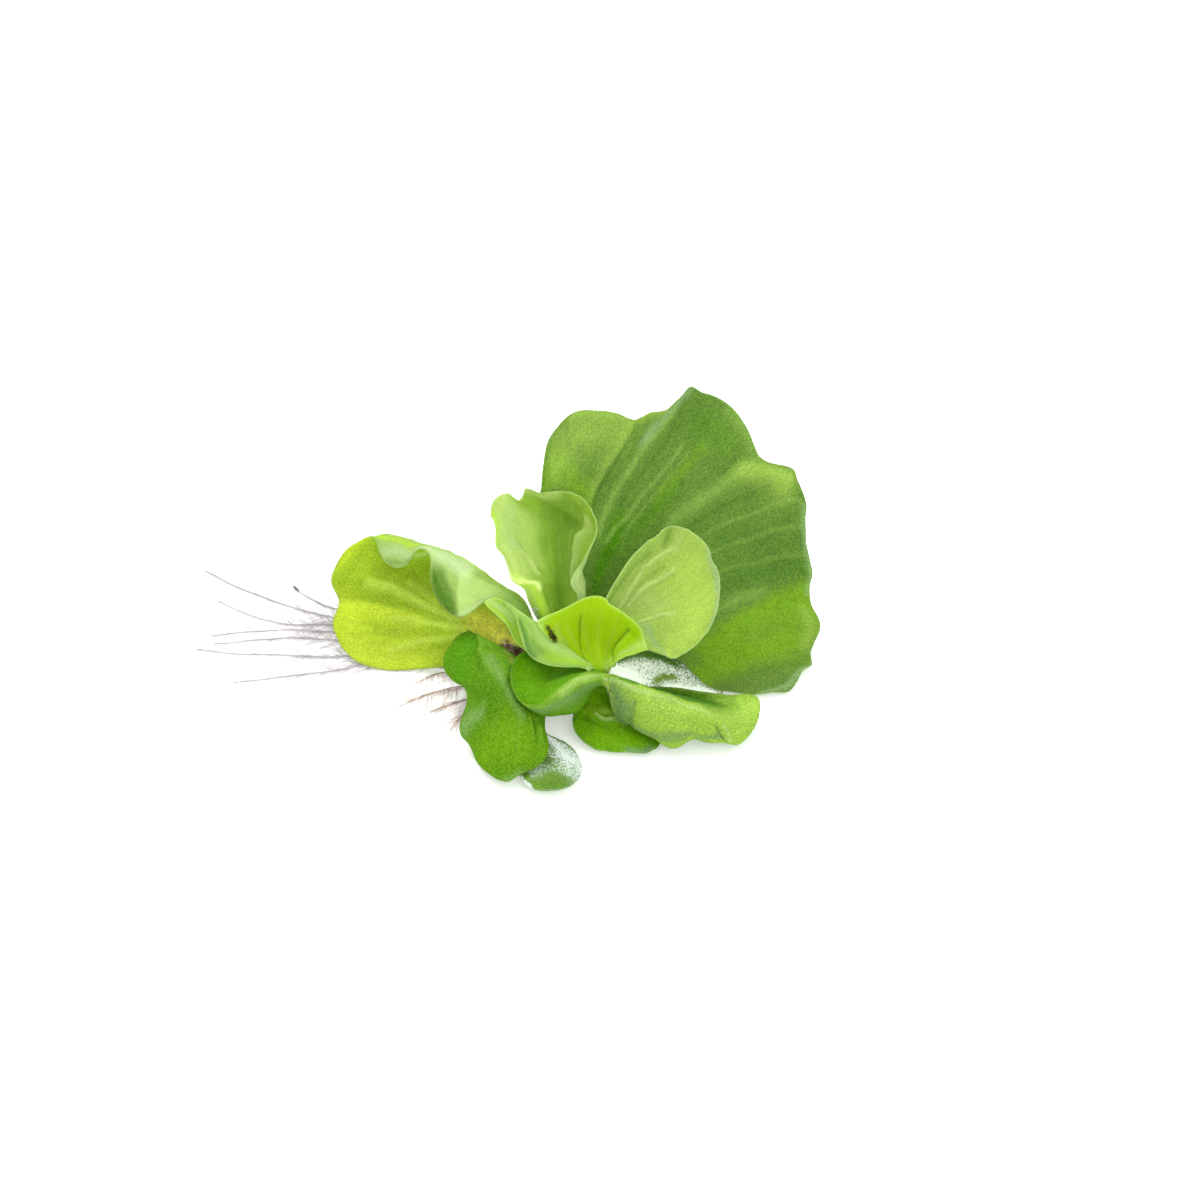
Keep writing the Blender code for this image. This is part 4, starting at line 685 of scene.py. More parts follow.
        velvet=0.45, edging=0.9, tints=dict(deep_green_and_shade="5F8838", lime="98B450", frost="FFFFFF"),
        outline=dict(start=[(624, 658), (633, 654), (642, 651), (651, 650), (660, 652), (670, 657),
                            (682, 662)]),
        strokes=[
            ("frost", [(604, 668), (620, 672), (632, 680)], 5.5, 1.0, 0.0),
            ("frost", [(655, 668), (675, 674), (700, 686)], 7.0, 0.52, 0.0),
            ("frost", [(668, 687), (690, 689), (712, 692)], 1.2, 1.0, 0.0),
            ("lime", [(657, 679), (664, 675), (673, 677)], 1.4, 1.0, 0.0),
            ("frost", [(657, 679), (664, 675), (673, 677)], 1.2, -0.9, 0.0),
            ("frost", [(620, 661), (630, 657), (642, 654), (651, 654), (661, 657), (676, 663)],
             1.5, -1.0, 0.0),
            ("deep_green_and_shade", [(620, 661), (630, 657), (642, 654), (651, 654), (661, 657), (676, 663)],
             1.2, 1.0, 0.0),
        ]),
}

# The crown's middle line, from its old end to its tip, and its girth along it, as its solid has them.
CROWN_LINE = [(-5.0, -0.8, 6.2), (1.0, -1.0, 6.2), (7.0, -4.2, 7.6), (13.5, -8.6, 9.6), (21.5, -12.8, 11.3)]
CROWN_GIRTH = [4.4, 5.3, 4.5, 3.6, 3.0]
CROWN_TALLNESS = 1.12       # its height over its middle line, against its girth
CROWN_DEPTH = 1.9           # and below it, down to the flat side that it stands on
CROWN_AROUND, CROWN_RINGS = 96, 90  # points round it and along it
SCAR_SPACING = 2.1          # mm between the ring scars that shed leaves leave on the crown
SCAR_DEPTH = 0.28

# The roots, in mm.
ROOT_RADIUS = 0.26
SHORT_ROOT_RADIUS = 0.12
ROOT_TIP_SHARE = 0.9        # of the radius at its start
ROOT_SINK = 0.35            # share of a root's length over which it comes down to the table
ROOT_STEP = 0.8
ROOT_WOBBLE = 0.16
FINE_WOBBLE = 0.07
ROOT_CAP = 3.4              # length of the dark cap on a root's tip
CAP_RADIUS = 0.42
CAPPED_ROOT = 7
SIDE_ROOT_RADIUS = 0.037
SIDE_ROOTS = (0.22, 19.0, 1.1, 0.66)    # mm apart, reach, spread in radians, where they get sparse
SHORT_SIDE_ROOTS = (0.17, 14.0, 0.8, 0.8)
SHORT_ROOT_HEADING = (-1.0, -1.56)  # all side roots of the short roots point this way
BARE_START = 0.25           # share of a root before its first side root
BARE_TIP = 1.5              # mm
MAIN_SIDES, CAP_SIDES, FINE_SIDES = 10, 8, 3    # of the tubes that roots, caps and fine hairs are made as

# Patches of dry hairs and torn sheaths, where leaves meet the crown: name, leaf, number, middle and reach
# in the photograph's pixels, tilt in degrees, (length, lean, radius) in mm, and two browns.
HAIR_PATCHES = [
    ("armpit_hairs", "left", 350, (489, 627), (27, 21), 0, (1.5, 0.8, 0.055), "DCD050", "FBF49A"),
    ("armpit_hairs_brown", "left", 260, (489, 627), (27, 21), 0, (1.5, 0.8, 0.055), "C0AA50", "EADC88"),
    ("armpit_sheath", "left", 170, (511, 648), (9, 4), -34, (1.5, 0.8, 0.075), "6E4A44", "DCC6B8"),
    # The remains of sheaths under the heart leaf are dark: their browns are partly their own and partly
    # painted shade.
    ("sheath_remains", "heart", 330, (551, 633), (8.5, 2.3), -63, (1.2, 0.5, 0.09), "38360E", "74801E"),
    ("sheath_fibres", "inner_left", 80, (537, 613), (8, 2.5), -68, (1.3, 0.8, 0.045), "C0B8BA", "F8F6F6"),
]


def linear(hex_colour):
    """Turn an sRGB hex colour into the linear RGBA that a shader takes."""
    channels = [int(hex_colour[i:i + 2], 16) / 255 for i in (0, 2, 4)]
    return [c / 12.92 if c <= 0.04045 else ((c + 0.055) / 1.055) ** 2.4 for c in channels] + [1.0]


def smooth(points, at):
    """Read a smooth curve through points, a Catmull-Rom spline, at places 0 ... len(points) - 1."""
    points = np.asarray(points, float)
    last = len(points) - 1
    padded = np.concatenate([[2 * points[0] - points[1]], points, [2 * points[-1] - points[-2]]])
    at = np.clip(np.asarray(at, float), 0, last)
    start = np.minimum(at.astype(int), last - 1)
    f = (at - start).reshape((-1,) + (1,) * (points.ndim - 1))
    a, b, c, d = (padded[start + k] for k in range(4))
    return 0.5 * (2 * b + (c - a) * f + (2 * a - 5 * b + 4 * c - d) * f**2 + (3 * b - 3 * c + d - a) * f**3)


def stand_up(drawn):
    """Move drawn points (right, up, near) to where they are in the world, in mm."""
    near = drawn[..., 2]
    shrink = 1 - near / EYE_DISTANCE
    right = EYE_AIM[0] + (drawn[..., 0] - EYE_AIM[0]) * shrink
    up = EYE_AIM[1] + (drawn[..., 1] - EYE_AIM[1]) * shrink
    back = up * math.sin(LEAN) - near * math.cos(LEAN)
    height = DRAWING_HEIGHT + up * math.cos(LEAN) + near * math.sin(LEAN)
    return np.stack([right, back, height], -1)


def ramp(values):
    """The same values, held between 0 and 1."""
    return np.clip(values, 0, 1)


def unit(vectors):
    """The same vectors, each one long."""
    return vectors / np.maximum(np.linalg.norm(vectors, axis=-1, keepdims=True), 1e-12)


def ripple(points, size, seed):
    """A smooth random value round 0 at each point, with humps about size apart: seven waves, added up."""
    chance = np.random.default_rng(seed)
    value = 0
    for _ in range(7):
        way = unit(chance.normal(size=points.shape[-1]))
        phase = points @ way * 2 * math.pi / size * chance.uniform(0.7, 1.4)
        value = value + np.sin(phase + chance.uniform(0, 6.3))
    return value / 3.5


# --- leaves ---------------------------------------------------------------------------------------

def leaf_rows(leaf):
    """All rows of a leaf's drawn points, foot first and rim last, with equal counts."""
    rim = np.array(leaf["rim"], float)
    across = np.linspace(-1, 1, len(rim))[:, None]
    foot = np.array(leaf["foot"]) + across * leaf["half"] + across**2 * leaf["curl"]
    ribs = [smooth(rib, np.linspace(0, len(rib) - 1, len(rim))) for rib in leaf["ribs"]]
    return np.array([foot, *ribs, rim])


def leaf_drawing(leaf, across, along):
    """The leaf's middle surface as drawn, at places across (-1 to 1) and along (foot 0, rim 1), in mm."""
    net = leaf_rows(leaf)
    last = net.shape[1] - 1
    even = smooth(net.swapaxes(0, 1), np.linspace(0, last, 12)).swapaxes(0, 1)
    steps = np.linalg.norm(np.diff(even.mean(1), axis=0), axis=1)
    length = np.concatenate([[0], np.cumsum(steps)])
    net = smooth(net.swapaxes(0, 1), (across + 1) / 2 * last).swapaxes(0, 1)
    return smooth(net, np.interp(along * length[-1], length, np.arange(len(net))))


def over_photo(pixels):
    """Where pixels of the photograph are in the drawing, as (right, up) in mm."""
    return (np.array(pixels, float) - DRAWING_ORIGIN) * (PIXEL, -PIXEL)


def with_outline(drawing, across, along, outline):
    """Move a leaf's edges on to points of the photograph, fading out over the leaf."""
    drawing = drawing.copy()
    for edge, pixels in outline.items():
        line = {"rim": drawing[-1], "start": drawing[:, 0], "end": drawing[:, -1]}[edge][:, :2]
        goals = over_photo(pixels)
        nearest = np.linalg.norm(line - goals[:, None], axis=-1).argmin(1)
        order = np.argsort(nearest, kind="stable")
        at = nearest[order]
        shift = (goals - line[nearest])[order]
        ends = [at[0] - OUTLINE_FADE_LINES, *at, at[-1] + OUTLINE_FADE_LINES]
        moves = [np.interp(np.arange(len(line)), ends, [0, *shift[:, axis], 0]) for axis in (0, 1)]
        moves = np.stack(moves, -1)
        for _ in range(OUTLINE_SMOOTHING):
            moves[1:-1] = (moves[:-2] + 2 * moves[1:-1] + moves[2:]) / 4
        if edge == "rim":
            share = ramp((along - 1 + OUTLINE_REACH) / OUTLINE_REACH) ** 2
            drawing[..., :2] += share[:, None, None] * moves[None]
        else:
            far = across if edge == "end" else -across
            share = ramp((far - 1 + OUTLINE_REACH) / OUTLINE_REACH) ** 2
            drawing[..., :2] += share[None, :, None] * moves[:, None]
    return drawing


def lines_across(reach, cell):
    """Places 0 ... 1 a cell apart over a reach in mm, with more of them close to 1."""
    even = np.linspace(0, 1, max(8, round(reach / cell)))
    return np.unique(np.concatenate([even, 1 - np.array(RIM_LINES) / reach]))


def arc_lengths(sheet, axis):
    """How far each point of a sheet is along its row or column, in mm."""
    steps = np.linalg.norm(np.diff(sheet, axis=axis), axis=-1)
    return np.concatenate([np.zeros_like(np.take(steps, [0], axis)), np.cumsum(steps, axis)], axis)


def stroke_mask(drawing, here, pixels, width):
    """How strong a stroke is at each point of a leaf: 1 on its line, fading over its width on each side.

    here is where the points are on the flattened leaf, in mm. The line's own points are found in the
    drawing, on the part of the leaf that is nearest to the eye. Its left is the left in the photograph, and
    round its ends the two widths blend.
    """
    line, marks = [], over_photo(pixels)
    for mark in marks:
        away = np.linalg.norm(drawing[..., :2] - mark, axis=-1)
        close = away < max(away.min() * 1.5, STROKE_CLOSE)
        line.append(here.reshape(-1, 2)[np.where(close, drawing[..., 2], -np.inf).argmax()])
    nearest = np.full(here.shape[:-1], np.inf)
    side, seen = np.zeros((2, *here.shape[:-1]))
    for k in range(len(line) - 1):
        run = line[k + 1] - line[k]
        share = ramp((here - line[k]) @ run / max(run @ run, 1e-9))
        off = here - line[k] - share[..., None] * run
        away = np.linalg.norm(off, axis=-1)
        turn = (run[0] * off[..., 1] - run[1] * off[..., 0]) / np.maximum(np.linalg.norm(run) * away, 1e-9)
        ahead = marks[k + 1] - marks[k]
        shown = drawing[..., :2] - marks[k]
        left = ahead[0] * shown[..., 1] - ahead[1] * shown[..., 0]
        side = np.where(away < nearest, turn, side)
        seen = np.where(away < nearest, left, seen)
        nearest = np.minimum(nearest, away)
    close = nearest < STROKE_SIDE_REACH
    facing = 1 if np.sum(np.sign(seen[close]) * side[close]) >= 0 else -1
    left_width, right_width = width if isinstance(width, tuple) else (width, width)
    reach = right_width + (left_width - right_width) * (0.5 + 0.5 * facing * side)
    return np.exp(-(nearest / reach) ** 2)


def leaf_faces(rows, columns):
    """Faces of a sheet's two sides, and of the strips round its rim that join them."""
    index = np.arange(rows * columns).reshape(rows, columns)
    over = np.stack([index[:-1, :-1], index[:-1, 1:], index[1:, 1:], index[1:, :-1]], -1).reshape(-1, 4)
    under = over[:, ::-1] + rows * columns
    rim = np.concatenate([index[0, :-1], index[:-1, -1], index[-1, :0:-1], index[:0:-1, 0]])
    after = np.roll(rim, -1)
    middle = 2 * rows * columns + np.arange(len(rim))
    middle_after = np.roll(middle, -1)
    low, low_after = rim + rows * columns, after + rows * columns
    upper_strip = np.stack([after, rim, middle, middle_after], -1)
    lower_strip = np.stack([middle_after, middle, low, low_after], -1)
    return np.concatenate([over, under, upper_strip, lower_strip]), rim


def into_scene(name, data):
    """A new object in the scene, of a mesh, a light or a camera."""
    thing = bpy.data.objects.new(name, data)
    bpy.context.scene.collection.objects.link(thing)
    return thing


def mesh_object(name, points, faces, marks, places=None):
    """A smooth mesh in the scene: points in mm, marks one number a point, places its (across, along)."""
    mesh = bpy.data.meshes.new(name)
    mesh.from_pydata((points * MM).tolist(), [], faces.tolist())
    mesh.shade_smooth()
    for mark, values in marks.items():
        layer = mesh.attributes.new(mark, "FLOAT", "POINT")
        layer.data.foreach_set("value", np.asarray(values, np.float32).ravel())
    if places is not None:
        corners = np.empty(len(mesh.loops), np.int32)
        mesh.loops.foreach_get("vertex_index", corners)
        layer = mesh.uv_layers.new(name="across_along")
        layer.data.foreach_set("uv", np.asarray(places, np.float32)[corners].ravel())
    thing = into_scene(name, mesh)
    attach(thing, BODY)
    return thing


def sheet_normals(sheet):
    """Which way each point of a sheet faces."""
    return unit(np.cross(np.gradient(sheet, axis=1), np.gradient(sheet, axis=0)))


def nerve_lines(count, run, from_side, t):
    """How close each point is to a nerve: 1 on it. They fan out from the foot and fade towards the rim."""
    middle = run / np.maximum(run[:, -1:], 1e-9) * 2 - 1
    half_width = run[:, -1:] / 2
    nerve = np.zeros(run.shape)
    for k, place in enumerate(np.linspace(-NERVE_SPREAD, NERVE_SPREAD, count)):
        line = place + 0.02 * math.sin(5 * k) + 0.012 * np.sin(t * 5 + k)
        nerve = np.maximum(nerve, np.exp(-(((middle - line) * half_width) / NERVE_WIDTH) ** 2))
    return nerve * ramp((1 - t) * 3) * ramp(from_side / 1.5)


def leaf_relief(look, sheet, nerve, s, t, from_rim):
    """How far a leaf's face stands out, in mm: grooves on its nerves, puckers, and waves along its rim."""
    pucker = look.get("pucker", PUCKER)
    height, waves = look["ruffle"]
    ruffle = np.sin(s * math.pi * waves + 1.5 * ripple(sheet, 16, 3)) * np.exp(-from_rim / RUFFLE_REACH)
    relief = -NERVE_DEPTH * nerve * (1 - 0.5 * t)
    relief = relief + pucker * ripple(sheet, PUCKER_SIZE, 11) * ramp(from_rim / 2)
    relief = relief + pucker * 1.2 * ripple(sheet, BULGE_SIZE, 12) * ramp(t * 4)
    return relief + height * ruffle * ramp((t - 0.15) * 3)


def with_strokes(look, drawing, here, relief, t):
    """The tints that strokes leave on the upper and the lower face, and the relief with what they raise."""
    tints = {tint: np.zeros((2, *t.shape)) for tint in look["tints"]}
    for face, strokes in enumerate((look["strokes"], look.get("under_strokes", []))):
        for tint, pixels, width, strength, raised in strokes:
            mask = stroke_mask(drawing, here, pixels, width)
            if tint and strength > 0:
                tints[tint][face] = 1 - (1 - tints[tint][face]) * (1 - strength * mask)
            elif tint:
                tints[tint][face] *= 1 + strength * mask
            relief = relief + raised * mask * ramp(t * 6)
    return tints, relief


def half_thickness(flesh, s, t, from_rim):
    """Half of a leaf's thickness, in mm, from its fleshy foot to its thin round rim."""
    fleshy = ramp(1 - t / FLESHY_PART) * (1 - (1 - FLESH_AT_SIDE) * s**2)
    thick = BLADE_THICKNESS + (flesh - BLADE_THICKNESS) * fleshy
    rounding = np.sqrt(ramp(1 - (1 - ramp(from_rim / RIM_ROUNDING)) ** 2))
    return (RIM_THICKNESS + (thick - RIM_THICKNESS) * rounding) / 2


def rim_bulge(sheet, half):
    """The sheet's points, with those on its four sides moved out to where the rim is roundest."""
    outward = np.zeros_like(sheet)
    outward[0] -= unit(sheet[1] - sheet[0])
    outward[-1] += unit(sheet[-1] - sheet[-2])
    outward[:, 0] -= unit(sheet[:, 1] - sheet[:, 0])
    outward[:, -1] += unit(sheet[:, -1] - sheet[:, -2])
    return sheet + unit(outward) * half[..., None] * RIM_BULGE


def grown_leaf(name, leaf, look):
    """One leaf: its sheet with nerves, puckers and ruffled rim, then both its faces and its green.

    Gives back its drawing, and its upper face with its normals, for the hairs that stand on it.
    """
    cell = BIG_CELL if name == "back" else CELL
    coarse = stand_up(leaf_drawing(leaf, np.linspace(-1, 1, COARSE), np.linspace(0, 1, COARSE)))
    half_width = arc_lengths(coarse, 1)[:, -1].max() / 2
    length = arc_lengths(coarse, 0)[-1].mean()
    side = lines_across(half_width, cell)
    across = np.concatenate([-side[:0:-1], side])
    along = lines_across(length, cell)
    drawing = with_outline(leaf_drawing(leaf, across, along), across, along, look["outline"])
    sheet = stand_up(drawing)

    s, t = np.broadcast_arrays(across, along[:, None])
    run, rise = arc_lengths(sheet, 1), arc_lengths(sheet, 0)
    from_side = np.minimum(run, run[:, -1:] - run)
    from_rim = np.minimum(from_side, rise[-1:] - rise)
    nerve = nerve_lines(look["nerves"], run, from_side, t)
    relief = leaf_relief(look, sheet, nerve, s, t, from_rim)
    drift = np.stack([ripple(sheet, DRIFT_SIZE, 5), ripple(sheet, DRIFT_SIZE, 6)], -1) * STROKE_DRIFT
    here = np.stack([s * half_width, t * length], -1) + drift
    tints, relief = with_strokes(look, drawing, here, relief, t)
    sheet = sheet + sheet_normals(sheet) * relief[..., None]

    # The foot is carried on into the crown.
    line = smooth(CROWN_LINE, np.linspace(0, len(CROWN_LINE) - 1, 60))
    heart = line[np.linalg.norm(line - sheet[0].mean(0), axis=1).argmin()]
    tail = [sheet[0] + (heart - sheet[0]) * FOOT_REACH * f for f in FOOT_STEPS]
    sheet = np.concatenate([tail, sheet])

    def with_tail(values):
        return np.concatenate([values[:1]] * len(tail) + [values])

    s, t, nerve, from_rim = (with_tail(values) for values in (s, t, nerve, from_rim))
    tints = {tint: [with_tail(values) for values in both] for tint, both in tints.items()}

    normal = sheet_normals(sheet)
    half = half_thickness(leaf["flesh"], s, t, from_rim)
    over = sheet + normal * half[..., None]
    under = sheet - normal * (half + look.get("ribs", RIB_HEIGHT) * nerve * (1 - t))[..., None]
    faces, rim = leaf_faces(*s.shape)
    edge = rim_bulge(sheet, half).reshape(-1, 3)[rim]
    points = np.concatenate([over.reshape(-1, 3), under.reshape(-1, 3), edge])

    def all_points(top, bottom):
        return np.concatenate([top.ravel(), bottom.ravel(), ((top + bottom) / 2).ravel()[rim]])

    marks = {tint: all_points(*both) for tint, both in tints.items()}
    marks["upper"] = all_points(np.ones(s.shape), np.zeros(s.shape))
    marks["nerve"] = all_points(nerve, nerve * look.get("rib_paleness", 1.0))
    near_rim = np.exp(-(from_rim / RIM_LINE) ** 2)
    marks["rim"] = all_points(near_rim, near_rim)
    places = np.stack([all_points((s + 1) / 2, (s + 1) / 2), all_points(t, t)], -1)
    thing = mesh_object(f"{name}_leaf", points, faces, marks, places)
    thing.data.materials.append(leaf_blade(f"{name} leaf blade", look, half_width * 2, length))
    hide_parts(f"leaf_{name}")
    return drawing, over[len(tail):], normal[len(tail):]


# --- materials ------------------------------------------------------------------------------------

# Sizes of the materials' patterns, and how much light comes through them.
VELVET = 0.5                # mm between tufts of short hairs; the real ones are half that, too fine here
HAIR_GRAIN = 0.31           # mm across the grain that uneven hairs give
COAT_BELOW = 0.4            # how dense the hairs are on a leaf's underside, against its upper side
NERVE_GRAIN = 1.1           # mm between the finest parallel nerves
NERVE_STRETCH = 16          # mm along them over which they stay the same
CLOUD = 9.0                 # mm across a lighter or darker patch of green
FROST = 0.36                # mm across a bead of the silvery film; the real ones are half that
FROST_PAINTED_GLOW = 0.6           # how brightly the beads glow by emission: painted light for the light of the bright table that they hand on
LEAF_THROUGH = 0.38         # share of the light that comes through a leaf
ROOT_THROUGH = 0.35
FIBRE_THROUGH = 0.3
CORK_PATCH = 2.6            # mm across a patch of lighter or darker cork
CORK_GRIT = 0.5
ROOT_STRETCH = 7.0          # mm between old and young stretches of a root
FIBRE_PATCH = 1.1           # mm between darker and lighter stretches of a fibre


def node(tree, kind, inputs=None, **settings):
    """Add a node with its settings; each of its inputs is given a value or linked to a socket."""
    made = tree.nodes.new(kind)
    for setting, value in settings.items():
        setattr(made, setting, value)
    for socket, value in (inputs or {}).items():
        if isinstance(value, bpy.types.NodeSocket):
            tree.links.new(value, made.inputs[socket])
        else:
            made.inputs[socket].default_value = value
    return made


def new_material(name):
    """An empty material and its tree of nodes."""
    material = bpy.data.materials.new(name)
    material.use_nodes = True
    material.node_tree.nodes.clear()
    return material, material.node_tree


def leaf_blade(name, look, width, length):
    """Living leaf, grown soft under a coat of short hairs: matt and velvety, with light coming through."""
    material, tree = new_material(name)
    place = node(tree, "ShaderNodeTexCoord")
    marks = {mark: node(tree, "ShaderNodeAttribute", attribute_name=mark).outputs["Fac"]
             for mark in ("upper", "nerve", "rim", *look["tints"])}
    cloud = node(tree, "ShaderNodeTexNoise", {"Vector": place.outputs["Object"], "Scale": 1000 / CLOUD,
                                              "Detail": 3.0, "Roughness": 0.55})
    velvet = node(tree, "ShaderNodeTexVoronoi", {"Vector": place.outputs["Object"], "Scale": 1000 / VELVET,
                                                 "Randomness": 0.9}, feature="F1")
    dots = node(tree, "ShaderNodeMapRange", {"Value": velvet.outputs["Distance"], "From Min": 0.1,
                                             "From Max": 0.65, "To Min": 1.0, "To Max": 0.0})
    hairs = node(tree, "ShaderNodeTexNoise", {"Vector": place.outputs["Object"], "Scale": 1000 / HAIR_GRAIN,
                                              "Detail": 1.0, "Roughness": 0.5})
    fan = node(tree, "ShaderNodeMapping", {"Vector": place.outputs["UV"],
                                           "Scale": (width / NERVE_GRAIN, length / NERVE_STRETCH, 1.0)})
    grain = node(tree, "ShaderNodeTexNoise", {"Vector": fan.outputs["Vector"], "Scale": 1.0, "Detail": 2.0,
                                              "Roughness": 0.6, "Distortion": 0.15})

    # The greens: one for each side of the leaf, the tints where its marks say, many of them painted light
    # and shade, then nerves, rim and hair, whose lighter dots are partly painted light that the hair tufts
    # catch.
    colour = node(tree, "ShaderNodeMix", {0: marks["upper"], 6: linear(look["under"]),
                                          7: linear(look["top"])}, data_type="RGBA").outputs[2]
    greens = [(marks[tint], green) for tint, green in look["tints"].items() if tint != "frost"]
    for mark, amount, green in ((marks["nerve"], 0.08, look["nerve"]),
                                (marks["rim"], look.get("edging", 0.4), look["rim"]),
                                (dots.outputs["Result"], look["velvet"] * 0.35, look["hair"])):
        share = node(tree, "ShaderNodeMath", {0: mark, 1: amount}, operation="MULTIPLY").outputs[0]
        greens.append((share, green))
    for share, green in greens:
        colour = node(tree, "ShaderNodeMix", {0: share, 6: colour, 7: linear(green)},
                      data_type="RGBA").outputs[2]

    # Hair tufts catch the light. They, the nerves' grain and soft clouds make the green lighter and darker.
    coat = node(tree, "ShaderNodeMapRange", {"Value": marks["upper"], "To Min": COAT_BELOW, "To Max": 1.0})
    light = 1.0
    for pattern, amount, share in (
            (dots.outputs["Result"], look["velvet"] * 0.55, coat.outputs["Result"]),
            (hairs.outputs["Fac"], look["velvet"], coat.outputs["Result"]),
            (grain.outputs["Fac"], 0.28, 1.0), (cloud.outputs["Fac"], 0.22, 1.0)):
        around = node(tree, "ShaderNodeMath", {0: pattern, 1: amount, 2: -amount / 2},
                      operation="MULTIPLY_ADD")
        light = node(tree, "ShaderNodeMath", {0: around.outputs[0], 1: share, 2: light},
                     operation="MULTIPLY_ADD").outputs[0]
    colour = node(tree, "ShaderNodeHueSaturation", {"Color": colour, "Value": light}).outputs["Color"]

    # The silvery film of trapped air lies over it in beads, which crowd together where it is thick.
    if "frost" in look["tints"]:
        beads = node(tree, "ShaderNodeTexNoise", {"Vector": place.outputs["Object"], "Scale": 1000 / FROST,
                                                  "Detail": 3.0, "Roughness": 0.65})
        crowded = node(tree, "ShaderNodeMath", {0: beads.outputs["Fac"], 1: 3.0, 2: -1.5},
                       operation="MULTIPLY_ADD")
        crowded = node(tree, "ShaderNodeMath", {0: crowded.outputs[0], 1: marks["frost"]}, operation="ADD")
        film = node(tree, "ShaderNodeMapRange", {"Value": crowded.outputs[0], "From Min": 0.2,
                                                 "From Max": 0.75})
        edge = node(tree, "ShaderNodeMath", {0: marks["frost"], 1: 4.0}, operation="MULTIPLY",
                    use_clamp=True)
        film = node(tree, "ShaderNodeMath", {0: film.outputs["Result"], 1: edge.outputs[0]},
                    operation="MULTIPLY").outputs[0]
        colour = node(tree, "ShaderNodeMix", {0: film, 6: colour, 7: linear(look["tints"]["frost"])},
                      data_type="RGBA").outputs[2]
        # The film glows by emission: painted light for the bright table's light that it scatters.
        painted_glow = node(tree, "ShaderNodeMath", {0: film, 1: FROST_PAINTED_GLOW}, operation="MULTIPLY").outputs[0]
    else:
        painted_glow = 0.0

    felt = node(tree, "ShaderNodeMath", {0: grain.outputs["Fac"], 1: 0.5, 2: dots.outputs["Result"]},
                operation="MULTIPLY_ADD")
    bump = node(tree, "ShaderNodeBump", {"Height": felt.outputs[0], "Strength": 0.3, "Distance": 0.1 * MM})
    skin = node(tree, "ShaderNodeBsdfPrincipled", {
        "Base Color": colour, "Roughness": 0.62, "IOR": 1.42, "Specular IOR Level": 0.12,
        "Sheen Weight": 0.03, "Sheen Roughness": 0.45, "Sheen Tint": linear("E6F2D8"),
        "Emission Color": linear("FFFFFF"), "Emission Strength": painted_glow, "Normal": bump.outputs["Normal"]})
    glow = node(tree, "ShaderNodeHueSaturation", {"Color": colour, "Saturation": 1.1, "Value": 1.4})
    through = node(tree, "ShaderNodeBsdfTranslucent", {"Color": glow.outputs["Color"]})
    both = node(tree, "ShaderNodeMixShader", {0: LEAF_THROUGH, 1: skin.outputs[0], 2: through.outputs[0]})
    node(tree, "ShaderNodeOutputMaterial", {"Surface": both.outputs[0]})
    return material


def corky_skin(name):
    """Old stem skin, grown rough and corky: dull brown with purple-grey scars and paler fibres."""
    material, tree = new_material(name)
    place = node(tree, "ShaderNodeTexCoord")
    patches = node(tree, "ShaderNodeTexNoise", {
        "Vector": place.outputs["Object"], "Scale": 1000 / CORK_PATCH, "Detail": 5.0, "Roughness": 0.65})
    grit = node(tree, "ShaderNodeTexNoise", {"Vector": place.outputs["Object"], "Scale": 1000 / CORK_GRIT,
                                             "Detail": 3.0, "Roughness": 0.7})
    brown = node(tree, "ShaderNodeValToRGB", {"Fac": patches.outputs["Fac"]})
    browns = brown.color_ramp.elements
    browns[0].position = 0.34
    browns[0].color = linear("4A3228")
    browns[1].position = 0.66
    browns[1].color = linear("A08F4E")
    browns.new(0.5).color = linear("7A5F42")
    scar = node(tree, "ShaderNodeAttribute", attribute_name="scar")
    colour = node(tree, "ShaderNodeMix", {0: scar.outputs["Fac"], 6: brown.outputs["Color"],
                                          7: linear("5B3A44")}, data_type="RGBA")
    bump = node(tree, "ShaderNodeBump", {"Height": grit.outputs["Fac"], "Strength": 0.6,
                                         "Distance": 0.3 * MM})
    skin = node(tree, "ShaderNodeBsdfPrincipled", {
        "Base Color": colour.outputs[2], "Roughness": 0.78, "Specular IOR Level": 0.3,
        "Normal": bump.outputs["Normal"]})
    node(tree, "ShaderNodeOutputMaterial", {"Surface": skin.outputs[0]})
    return material


def living_root(name, young, old):
    """Wet living root, grown smooth and watery: pale, a little glassy, with old grey-brown stretches."""
    material, tree = new_material(name)
    place = node(tree, "ShaderNodeTexCoord")
    stretches = node(tree, "ShaderNodeTexNoise", {
        "Vector": place.outputs["Object"], "Scale": 1000 / ROOT_STRETCH, "Detail": 4.0, "Roughness": 0.7})
    colour = node(tree, "ShaderNodeValToRGB", {"Fac": stretches.outputs["Fac"]})
    ages = colour.color_ramp.elements
    ages[0].position = 0.36
    ages[0].color = linear(old)
    ages[1].position = 0.62
    ages[1].color = linear(young)
    skin = node(tree, "ShaderNodeBsdfPrincipled", {"Base Color": colour.outputs["Color"], "Roughness": 0.42,
                                                   "IOR": 1.38, "Specular IOR Level": 0.4})
    through = node(tree, "ShaderNodeBsdfTranslucent", {"Color": colour.outputs["Color"]})
    both = node(tree, "ShaderNodeMixShader", {0: ROOT_THROUGH, 1: skin.outputs[0], 2: through.outputs[0]})
    node(tree, "ShaderNodeOutputMaterial", {"Surface": both.outputs[0]})
    return material


